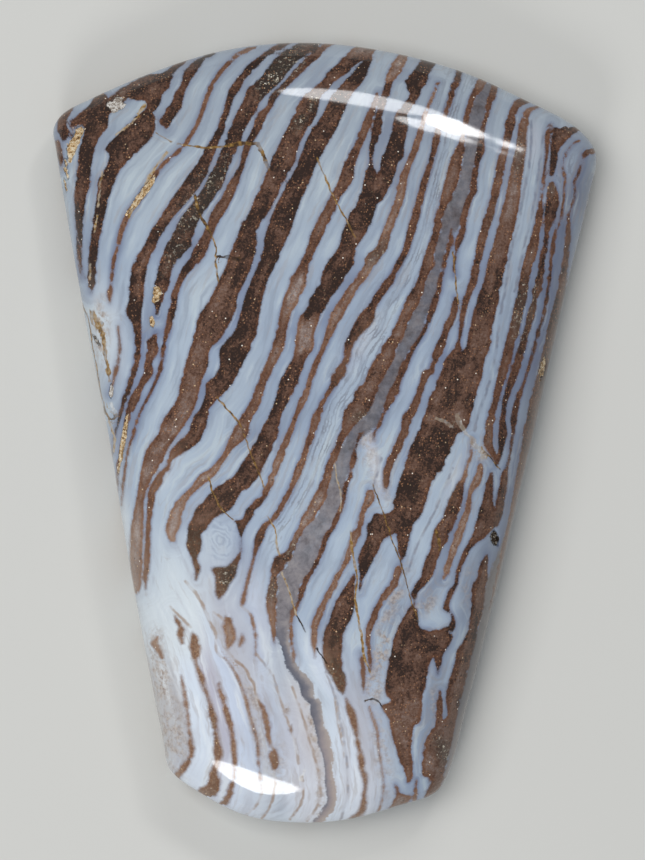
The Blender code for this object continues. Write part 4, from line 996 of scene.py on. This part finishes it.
class Recipe:
    """Adds shader nodes to a material. Vectors and scales are in millimetres."""

    def __init__(self, material):
        material.use_nodes = True
        self.tree = material.node_tree
        self.shader = self.tree.nodes["Principled BSDF"]

    def feed(self, socket, value):
        if isinstance(value, bpy.types.NodeSocket):
            self.tree.links.new(value, socket)
        elif value is not None:
            socket.default_value = value

    def attribute(self, name):
        node = self.tree.nodes.new("ShaderNodeAttribute")
        node.attribute_name = name
        return node.outputs["Fac"]

    def places(self):
        node = self.tree.nodes.new("ShaderNodeVectorMath")
        node.operation = "SCALE"
        node.inputs["Scale"].default_value = 1.0 / MM
        self.feed(node.inputs[0], self.tree.nodes.new("ShaderNodeTexCoord").outputs["Object"])
        return node.outputs[0]

    def axis(self, vector, name):
        node = self.tree.nodes.new("ShaderNodeSeparateXYZ")
        self.feed(node.inputs["Vector"], vector)
        return node.outputs[name]

    def vector(self, x, y, z):
        node = self.tree.nodes.new("ShaderNodeCombineXYZ")
        for socket, value in zip(node.inputs, (x, y, z)):
            self.feed(socket, value)
        return node.outputs["Vector"]

    def math(self, operation, first, second=None, third=None, clamp=False):
        node = self.tree.nodes.new("ShaderNodeMath")
        node.operation = operation
        node.use_clamp = clamp
        for socket, value in zip(node.inputs, (first, second, third)):
            self.feed(socket, value)
        return node.outputs[0]

    def times(self, *values):
        product = values[0]
        for value in values[1:]:
            product = self.math("MULTIPLY", product, value)
        return product

    def swing(self, value, amount, about=0.5):
        """A value that lies about 0.5, turned into a shift of this size about zero."""
        return self.math("MULTIPLY_ADD", value, amount, -about * amount)

    def noise(self, vector, scale, detail=2.0, roughness=0.5, distortion=0.0):
        node = self.tree.nodes.new("ShaderNodeTexNoise")
        node.inputs["Scale"].default_value = scale
        node.inputs["Detail"].default_value = detail
        node.inputs["Roughness"].default_value = roughness
        node.inputs["Distortion"].default_value = distortion
        self.feed(node.inputs["Vector"], vector)
        return node.outputs["Fac"]

    def lobes(self, vector, scale):
        """Round hollows that lie side by side: 0 in the middle of each, most between them."""
        node = self.tree.nodes.new("ShaderNodeTexVoronoi")
        node.feature = "SMOOTH_F1"
        node.inputs["Scale"].default_value = scale
        self.feed(node.inputs["Vector"], vector)
        return node.outputs["Distance"]

    def grains(self, vector, scale, size, share):
        """Small round grains in some of the cells: 1 on a grain, 0 elsewhere."""
        node = self.tree.nodes.new("ShaderNodeTexVoronoi")
        node.inputs["Scale"].default_value = scale
        self.feed(node.inputs["Vector"], vector)
        near = self.spread(node.outputs["Distance"], 0.5 * size, size, 1.0, 0.0)
        return self.times(near, self.spread(node.outputs["Color"], 1.0 - share, 1.04 - share))

    def spread(self, value, low, high, to_low=0.0, to_high=1.0, smooth=True):
        """A value taken from one range to another, and held at its ends."""
        node = self.tree.nodes.new("ShaderNodeMapRange")
        node.interpolation_type = "SMOOTHSTEP" if smooth else "LINEAR"
        self.feed(node.inputs["Value"], value)
        for name, number in (("From Min", low), ("From Max", high), ("To Min", to_low), ("To Max", to_high)):
            self.feed(node.inputs[name], number)
        return node.outputs["Result"]

    def ramp(self, value, *stops):
        """A colour read from stops of (place, screen colour)."""
        node = self.tree.nodes.new("ShaderNodeValToRGB")
        elements = node.color_ramp.elements
        while len(elements) < len(stops):
            elements.new(0.5)
        for element, (place, colour) in zip(elements, stops):
            element.position = place
            element.color = srgb(*colour)
        self.feed(node.inputs["Fac"], value)
        return node.outputs["Color"]

    def mix(self, share, first, second):
        node = self.tree.nodes.new("ShaderNodeMix")
        node.data_type = "RGBA"
        sockets = (node.inputs["Factor"], node.inputs[6], node.inputs[7])
        for socket, value in zip(sockets, (share, first, second)):
            self.feed(socket, srgb(*value) if isinstance(value, tuple) else value)
        return node.outputs[2]

    def blend(self, share, first, second):
        """A number between two others, by this share of the second."""
        return self.math("MULTIPLY_ADD", self.math("SUBTRACT", second, first), share, first)

    def bump(self, height, depth):
        node = self.tree.nodes.new("ShaderNodeBump")
        node.inputs["Strength"].default_value = 1.0
        node.inputs["Distance"].default_value = depth * MM
        self.feed(node.inputs["Height"], height)
        return node.outputs["Normal"]


def feathered(recipe, places, name, lobes, bristles):
    """A layer's edge distance with the small lobes and the finer bristles that it grew with."""
    bumps = recipe.swing(recipe.lobes(places, 2.6), lobes, 0.42)
    bumps = recipe.times(bumps, recipe.spread(recipe.noise(places, 0.5), 0.4, 0.62, 0.35, 1.1))
    hairs = recipe.swing(recipe.noise(places, 9.0, detail=3.0, roughness=0.75), bristles)
    return recipe.math("ADD", recipe.math("ADD", recipe.attribute(name), bumps), hairs)


def streaks(recipe, places, side, scale, seed, detail=3.0):
    """Noise drawn out along the layers, and along the fine layers of the narrow end."""
    warp = recipe.swing(recipe.noise(places, 1.7), 0.25)
    along = recipe.math("MULTIPLY", recipe.axis(places, "Y"), 0.11)
    fields = []
    for name, share in ((side, 1.0), ("flow", 0.85)):
        across = recipe.math("ADD", recipe.attribute(name), warp)
        drawn_out = recipe.vector(across, along, seed)
        fields.append(recipe.noise(drawn_out, share * scale, detail=detail, roughness=0.6))
    return recipe.blend(recipe.attribute("milk"), *fields)


def lace(recipe, places, name, step):
    """Hairlines that follow the layers at an even step, here and there."""
    crinkle = recipe.swing(recipe.noise(places, 3.4, detail=3.0, roughness=0.65), 0.26)
    away = recipe.math("ADD", recipe.attribute(name), crinkle)
    line = recipe.spread(recipe.math("PINGPONG", away, step), 0.015, 0.08, 1.0, 0.0)
    return recipe.times(line, recipe.spread(recipe.noise(places, 0.9, detail=1.0), 0.4, 0.6, 0.4, 1.0))


def milky_agate(recipe, places):
    """The narrow end's milky layers, each with its own white, blue, lilac or tan."""
    warp = recipe.swing(recipe.noise(places, 1.1, detail=2.0), 0.5)
    across = recipe.math("ADD", recipe.attribute("flow"), warp)
    across = recipe.math("MULTIPLY", across, 1.0 / FLOW_WIDTH)
    layers = recipe.ramp(
        across, (0.0, (190, 189, 188)), (0.085, (184, 185, 190)), (0.115, (214, 224, 236)),
        (0.175, (211, 221, 234)), (0.20, (186, 185, 198)), (0.265, (186, 187, 202)),
        (0.29, (202, 213, 231)), (0.345, (194, 203, 220)), (0.37, (189, 190, 198)),
        (0.43, (192, 194, 204)), (0.46, (200, 206, 221)), (0.52, (194, 196, 206)),
        (0.585, (202, 199, 202)), (0.66, (216, 226, 238)), (0.74, (212, 221, 234)),
        (0.79, (188, 189, 198)), (0.87, (194, 199, 212)), (1.0, (182, 185, 196)))
    height = recipe.axis(places, "Y")
    layers = recipe.mix(recipe.spread(height, -18.5, -21.5, 0.0, 0.6), layers, (224, 230, 240))
    left = recipe.spread(recipe.axis(places, "X"), -6.0, -8.0)
    high = recipe.times(left, recipe.spread(height, -14.6, -12.2))
    return recipe.mix(high, layers, (216, 224, 229))


def eye_rings(recipe, places, colour):
    """Faint uneven rings round the middle of the nodule."""
    around = recipe.swing(recipe.noise(places, 1.0, detail=3.0), 1.9)
    around = recipe.math("ADD", recipe.attribute("eye"), around)
    ring = recipe.math("MULTIPLY", recipe.math("PINGPONG", around, RING_STEP), 1.0 / RING_STEP)
    tone = recipe.ramp(ring, (0.0, (128, 140, 164)), (0.4, (152, 165, 186)), (0.9, (182, 196, 210)))
    near = recipe.spread(recipe.attribute("eye"), EYE_REACH, EYE_REACH - 0.5)
    broken = recipe.spread(recipe.noise(places, 1.5), 0.38, 0.6, 0.0, 0.4)
    return recipe.mix(recipe.times(near, broken), colour, tone)


def pale_agate(recipe, places, edge):
    """Blue chalcedony: bluer in thin layers, paler and streaked in wide ones, milky at the narrow end."""
    milk = recipe.attribute("milk")
    height = recipe.axis(places, "Y")
    width = recipe.math("ADD", recipe.attribute("from_right_side"), recipe.attribute("from_left_side"))
    width = recipe.math("ADD", width, recipe.swing(recipe.noise(places, 0.4), 1.0))
    colour = recipe.ramp(recipe.spread(width, 0.1, 2.3, smooth=False), (0.0, (108, 119, 145)),
                         (0.12, (128, 141, 166)), (0.28, (152, 167, 187)), (0.6, (170, 184, 199)),
                         (1.0, (180, 192, 202)))
    colour = recipe.mix(recipe.spread(height, 6.0, 20.0, 0.0, 0.45), colour, (154, 162, 168))
    colour = recipe.mix(recipe.spread(height, 3.0, -5.0, 0.0, 0.25), colour, (186, 202, 220))
    # Painted shade: the haze patches along the right rim darken the pale agate to a lilac grey there for the
    # shaded right flank. Elsewhere they mark clearer lilac agate
    colour = recipe.mix(recipe.math("MULTIPLY", recipe.attribute("haze_and_rim_shade"), 0.7), colour, (98, 105, 130))
    colour = recipe.mix(milk, colour, milky_agate(recipe, places))
    light = streaks(recipe, places, "from_right_side", 1.9, 0.0, detail=2.0)
    colour = recipe.mix(recipe.spread(light, 0.5, 0.34, 0.0, 0.45), colour,
                        recipe.mix(milk, (134, 144, 160), (186, 184, 190)))
    colour = recipe.mix(recipe.spread(light, 0.52, 0.68, 0.0, 0.5), colour,
                        recipe.mix(milk, (190, 202, 208), (232, 238, 242)))
    tan = recipe.spread(streaks(recipe, places, "from_left_side", 3.4, 7.0), 0.54, 0.66)
    tan = recipe.times(tan, recipe.math("MULTIPLY_ADD", milk, 0.12, 0.22))
    colour = recipe.mix(tan, colour, (158, 145, 136))
    hairs = recipe.math("MAXIMUM", lace(recipe, places, "from_right_side", 0.17),
                        lace(recipe, places, "from_left_side", 0.21))
    hairs = recipe.times(hairs, recipe.math("MULTIPLY_ADD", recipe.attribute("lace"), 0.54, 0.04))
    colour = recipe.mix(hairs, colour, (100, 98, 108))
    colour = eye_rings(recipe, places, colour)
    skin = recipe.times(recipe.spread(edge, -0.17, -0.03), recipe.math("MULTIPLY_ADD", milk, -0.3, 0.4))
    colour = recipe.mix(skin, colour, (120, 128, 152))
    stain = recipe.noise(places, 1.6, detail=4.0, roughness=0.75)
    stain = recipe.times(recipe.attribute("blush"), recipe.spread(stain, 0.4, 0.62))
    blush = recipe.noise(places, 5.0, detail=3.0)
    blush = recipe.ramp(blush, (0.38, (142, 124, 112)), (0.6, (184, 172, 162)))
    colour = recipe.mix(stain, colour, blush)
    specks = recipe.math("MULTIPLY", recipe.grains(places, 1.3, 0.07, 0.12), 0.8)
    return recipe.mix(specks, colour, (60, 50, 48))


def brown_agate(recipe, places, edge):
    """Iron-brown layers: redder at their edges and full of fine grains, golden at the narrow end, with
    painted glints of light off small crystals.
    """
    cloud = recipe.noise(places, 0.8, detail=3.0, roughness=0.6)
    depth = recipe.math("ADD", recipe.attribute("brown_depth"), recipe.swing(cloud, 1.1))
    drawn_out = streaks(recipe, places, "from_left_side", 3.0, 3.0)
    depth = recipe.math("ADD", depth, recipe.swing(drawn_out, 0.6))
    grain = recipe.noise(places, 6.5, detail=3.0, roughness=0.8)
    depth = recipe.math("ADD", depth, recipe.swing(grain, 1.15), clamp=True)
    core = recipe.ramp(depth, (0.0, (170, 158, 153)), (0.25, (145, 131, 125)), (0.45, (123, 103, 94)),
                       (0.65, (109, 83, 70)), (0.85, (88, 62, 49)), (1.0, (47, 33, 27)))
    skin = recipe.ramp(depth, (0.0, (152, 126, 108)), (0.3, (126, 92, 71)), (0.6, (105, 71, 52)),
                       (0.85, (82, 52, 37)), (1.0, (45, 30, 23)))
    colour = recipe.mix(recipe.spread(edge, 0.04, 0.36), skin, core)
    golden = recipe.ramp(grain, (0.36, (110, 78, 58)), (0.5, (150, 118, 92)), (0.62, (190, 164, 138)))
    colour = recipe.mix(recipe.math("MULTIPLY", recipe.attribute("milk"), 0.5), colour, golden)
    sugar = recipe.attribute("sugar")
    colour = recipe.mix(recipe.math("MULTIPLY", sugar, 0.6), colour, (58, 53, 47))
    crumbs = recipe.noise(places, 5.0, detail=3.0, roughness=0.75)
    crumbs = recipe.times(sugar, recipe.spread(crumbs, 0.55, 0.64))
    crystals = recipe.ramp(recipe.noise(places, 3.0), (0.4, (116, 106, 90)), (0.62, (214, 206, 188)))
    colour = recipe.mix(crumbs, colour, crystals)
    crowded = recipe.spread(recipe.noise(places, 1.3, detail=3.0), 0.42, 0.6, 0.15, 0.8)
    tan_grains = recipe.times(recipe.grains(places, 7.0, 0.4, 0.5), crowded)
    colour = recipe.mix(tan_grains, colour, (158, 114, 82))
    dark_grains = recipe.math("MULTIPLY", recipe.grains(places, 3.6, 0.3, 0.25), 0.6)
    colour = recipe.mix(dark_grains, colour, (28, 20, 17))
    # Painted glints: the bright gold specks and the near-white specks below stand for light glinting off
    # small crystals in the brown
    painted_gold_glints = recipe.times(recipe.grains(places, 3.9, 0.22, 0.3), crowded)
    colour = recipe.mix(painted_gold_glints, colour, (232, 202, 160))
    return recipe.mix(recipe.grains(places, 2.5, 0.13, 0.35), colour, (248, 240, 226))


def smoke_agate(recipe, places):
    """Clear grey chalcedony: mauve-grey above, slate to tan across the layer at the narrow end."""
    height = recipe.axis(places, "Y")
    cloud = recipe.noise(places, 1.5, detail=4.0, roughness=0.7, distortion=0.3)
    upper = recipe.ramp(cloud, (0.34, (76, 68, 68)), (0.5, (98, 92, 95)), (0.66, (120, 112, 112)))
    middle = recipe.ramp(cloud, (0.34, (100, 94, 96)), (0.5, (124, 118, 121)), (0.66, (142, 135, 135)))
    upper = recipe.mix(recipe.spread(height, 0.0, -5.0), upper, middle)
    across = recipe.math("ADD", recipe.attribute("smoke_across"), recipe.swing(cloud, 0.8))
    lower = recipe.ramp(across, (0.1, (84, 87, 100)), (0.5, (110, 108, 116)), (0.85, (156, 147, 143)))
    foot = recipe.ramp(across, (0.0, (112, 112, 122)), (0.3, (146, 136, 138)), (0.8, (172, 158, 150)))
    lower = recipe.mix(recipe.spread(height, -16.0, -19.0), lower, foot)
    colour = recipe.mix(recipe.spread(height, -10.5, -13.0), upper, lower)
    return recipe.mix(recipe.math("MULTIPLY", recipe.attribute("haze_and_rim_shade"), 0.6), colour, (124, 119, 112))


def smoke_cover(recipe, places):
    """How much of the smoke layers shows: clouded over in places above, and clear and crisp lower down."""
    edge = feathered(recipe, places, "smoke_edge", 0.30, 0.35)
    low = recipe.spread(recipe.axis(places, "Y"), 1.0, -9.0)
    clouds = recipe.noise(places, 0.7, detail=4.0, roughness=0.7)
    cover = recipe.spread(clouds, 0.35, 0.6, 0.97, 0.8)
    cover = recipe.math("MAXIMUM", cover, recipe.math("MULTIPLY", low, 0.94))
    return recipe.times(cover, recipe.spread(edge, recipe.math("MULTIPLY_ADD", low, 0.11, -0.16), 0.06))


def line_mask(recipe, places, name, ragged, soft):
    """1 on the lines of a set, narrower and wider along them, and 0 past their ends and down the wall."""
    warp = recipe.swing(recipe.noise(places, 2.4, detail=3.0), ragged)
    side = recipe.math("ABSOLUTE", recipe.math("ADD", recipe.attribute(name + "_side"), warp))
    pinched = recipe.spread(recipe.noise(places, 1.9, detail=2.0), 0.36, 0.64, 0.3, 1.1)
    width = recipe.times(recipe.attribute(name + "_width"), pinched)
    line = recipe.spread(side, width, recipe.math("ADD", width, soft), 1.0, 0.0)
    near = recipe.spread(recipe.attribute(name + "_reach"), 0.5 * LINE_FADE, LINE_FADE, 1.0, 0.0)
    return recipe.times(line, near, recipe.spread(recipe.axis(places, "Z"), *WALL_FADE))


def draw_seams(recipe, places, colour):
    """Growth lines, soft and tan or grey."""
    tint = recipe.swing(recipe.noise(places, 2.6, detail=3.0), 0.8)
    tint = recipe.math("ADD", recipe.attribute("seam_colour"), tint)
    tint = recipe.ramp(tint, (0.0, (112, 120, 138)), (0.4, (150, 148, 156)), (0.7, (166, 148, 134)),
                       (1.0, (146, 116, 88)))
    strength = recipe.spread(recipe.noise(places, 1.2, detail=2.0), 0.36, 0.56, 0.2, 0.75)
    return recipe.mix(recipe.times(line_mask(recipe, places, "seam", 0.16, 0.12), strength), colour, tint)


def draw_cracks(recipe, places, colour):
    """Healed cracks and hairlines over the layers. The palest are see-through."""
    tint = recipe.swing(recipe.noise(places, 4.0, detail=2.0), 0.9)
    tint = recipe.math("ADD", recipe.attribute("crack_colour"), tint)
    tint = recipe.ramp(tint, (0.0, (36, 27, 21)), (0.25, (70, 50, 28)), (0.5, (150, 116, 60)),
                       (0.64, (172, 156, 132)), (0.85, (176, 166, 152)), (1.0, (232, 232, 228)))
    strength = recipe.spread(recipe.noise(places, 1.1, detail=3.0), 0.34, 0.52, 0.5, 0.98)
    clear = recipe.spread(recipe.attribute("crack_colour"), 0.66, 0.8, 1.0, 0.5)
    strength = recipe.times(line_mask(recipe, places, "crack", 0.2, 0.05), strength, clear)
    return recipe.mix(strength, colour, tint)


def line_pits(recipe, places, colour):
    """Iron stain, crystals and shadow inside the open pits."""
    ragged = recipe.swing(recipe.noise(places, 3.2, detail=4.0), 2.2)
    pit = recipe.math("ADD", recipe.attribute("pit"), ragged)
    crumbs = recipe.noise(places, 5.0, detail=4.0, roughness=0.8)
    gold = recipe.ramp(crumbs, (0.34, (60, 42, 28)), (0.42, (166, 126, 78)), (0.5, (226, 192, 140)),
                       (0.57, (255, 240, 210)))
    sugar = recipe.ramp(crumbs, (0.34, (84, 70, 62)), (0.46, (176, 166, 156)), (0.56, (246, 244, 240)))
    stain = recipe.attribute("pit_stain")
    lining = recipe.mix(recipe.math("MAXIMUM", stain, 0.0), sugar, gold)
    # Painted shade: a pit with no lining is coloured mostly near black, with a few gold and pale specks
    painted_hollow_shade = recipe.ramp(crumbs, (0.46, (20, 15, 12)), (0.52, (92, 66, 32)), (0.56, (40, 30, 22)),
                         (0.62, (236, 226, 208)))
    lining = recipe.mix(recipe.math("MULTIPLY", recipe.math("MINIMUM", stain, 0.0), -1.0), lining, painted_hollow_shade)
    return recipe.mix(recipe.spread(pit, 0.0, 0.16), colour, lining)


def agate_colour(recipe, places):
    """The layers over each other: pale, then smoke, then brown, and the cracks and pits on top."""
    edge = feathered(recipe, places, "brown_edge", 0.22, 0.17)
    colour = pale_agate(recipe, places, edge)
    colour = draw_seams(recipe, places, colour)
    colour = recipe.mix(smoke_cover(recipe, places), colour, smoke_agate(recipe, places))
    soft = recipe.math("MULTIPLY_ADD", recipe.attribute("milk"), 0.08, 0.06)
    brown = recipe.spread(edge, recipe.math("MULTIPLY", soft, -1.0), soft)
    colour = recipe.mix(brown, colour, brown_agate(recipe, places, edge))
    colour = draw_cracks(recipe, places, colour)
    return line_pits(recipe, places, colour)


def agate_material():
    """Polished agate, satin where the back is lapped and rough in the open pits."""
    material = bpy.data.materials.new("banded_agate")
    recipe = Recipe(material)
    places = recipe.places()
    recipe.feed(recipe.shader.inputs["Base Color"], agate_colour(recipe, places))
    lapped = recipe.spread(recipe.axis(places, "Z"), 0.1, 0.5, LAPPED, 0.0)
    open_pit = recipe.spread(recipe.attribute("pit"), -0.1, 0.1)
    rough = recipe.math("MULTIPLY_ADD", open_pit, PIT_ROUGHNESS, POLISH)
    recipe.feed(recipe.shader.inputs["Roughness"], recipe.math("MAXIMUM", rough, lapped))
    recipe.shader.inputs["IOR"].default_value = AGATE_IOR
    relief = recipe.times(recipe.noise(places, 6.0, detail=4.0, roughness=0.7), open_pit)
    recipe.feed(recipe.shader.inputs["Normal"], recipe.bump(relief, CRYSTAL_HEIGHT))
    return material


def add_floor():
    bpy.ops.mesh.primitive_plane_add(size=FLOOR_SIZE, location=(0.0, 0.0, 0.0))
    floor = bpy.context.object
    floor.name = "floor"
    material = bpy.data.materials.new("pale_floor")
    recipe = Recipe(material)
    recipe.shader.inputs["Base Color"].default_value = srgb(206, 206, 202)
    recipe.shader.inputs["Roughness"].default_value = 0.9
    floor.data.materials.append(material)


def add_softbox(name, azimuth, zenith, distance, size, power, shape="ELLIPSE", shown=True):
    """A flat light on a stand, aimed at the stone. Azimuth 0 is towards +Y, 90 towards +X."""
    light = bpy.data.lights.new(name, "AREA")
    light.shape = shape
    light.size, light.size_y = size
    light.energy = power
    item = bpy.data.objects.new(name, light)
    turn, tilt = math.radians(azimuth), math.radians(zenith)
    item.location = distance * Vector((
        math.sin(turn) * math.sin(tilt), math.cos(turn) * math.sin(tilt), math.cos(tilt)))
    item.rotation_euler = (-tilt, 0.0, -turn)
    item.visible_glossy = shown
    bpy.context.scene.collection.objects.link(item)


def add_light():
    world = bpy.data.worlds.new("studio")
    world.use_nodes = True
    background = world.node_tree.nodes["Background"]
    background.inputs["Color"].default_value = (0.92, 0.95, 1.0, 1.0)
    background.inputs["Strength"].default_value = 0.25
    bpy.context.scene.world = world
    add_softbox("broad_end_left_window", 9.0, 50.5, WINDOW_DISTANCE, (0.145, 0.034), 0.115)
    add_softbox("broad_end_right_window", 27.95, 48.9, WINDOW_DISTANCE, (0.038, 0.031), 0.064)
    add_softbox("broad_end_dim_window", 26.0, 45.4, WINDOW_DISTANCE, (0.056, 0.020), 0.033)
    add_softbox("narrow_end_window", 197.0, 58.0, WINDOW_DISTANCE, (0.130, 0.072), 0.26)
    add_softbox("overhead_fill", -70.0, 24.0, FILL_DISTANCE, (0.42, 0.42), 1.75,
                shape="RECTANGLE", shown=False)


def add_camera():
    camera = bpy.data.cameras.new("camera")
    camera.sensor_width = SENSOR
    camera.lens = SENSOR * CAMERA_DISTANCE / (IMAGE_HEIGHT * MM)
    camera.clip_end = 10.0
    item = bpy.data.objects.new("camera", camera)
    item.location = (*(VIEW_MIDDLE - DRAWN_MIDDLE) * MM, CAMERA_DISTANCE)
    bpy.context.scene.collection.objects.link(item)
    bpy.context.scene.camera = item


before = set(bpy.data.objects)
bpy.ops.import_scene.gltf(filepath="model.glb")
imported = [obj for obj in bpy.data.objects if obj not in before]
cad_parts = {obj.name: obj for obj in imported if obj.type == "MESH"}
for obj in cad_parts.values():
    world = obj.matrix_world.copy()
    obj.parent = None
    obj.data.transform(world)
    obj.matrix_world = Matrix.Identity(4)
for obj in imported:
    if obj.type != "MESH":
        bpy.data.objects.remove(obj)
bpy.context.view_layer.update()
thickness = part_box("cabochon")[1].z / MM
stone = build_stone(Dome(frame_rim(), thickness))
stone.data.materials.append(agate_material())
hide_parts("cabochon")
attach(stone, "root")
add_floor()
add_light()
add_camera()
bpy.context.scene.view_settings.view_transform = "Standard"
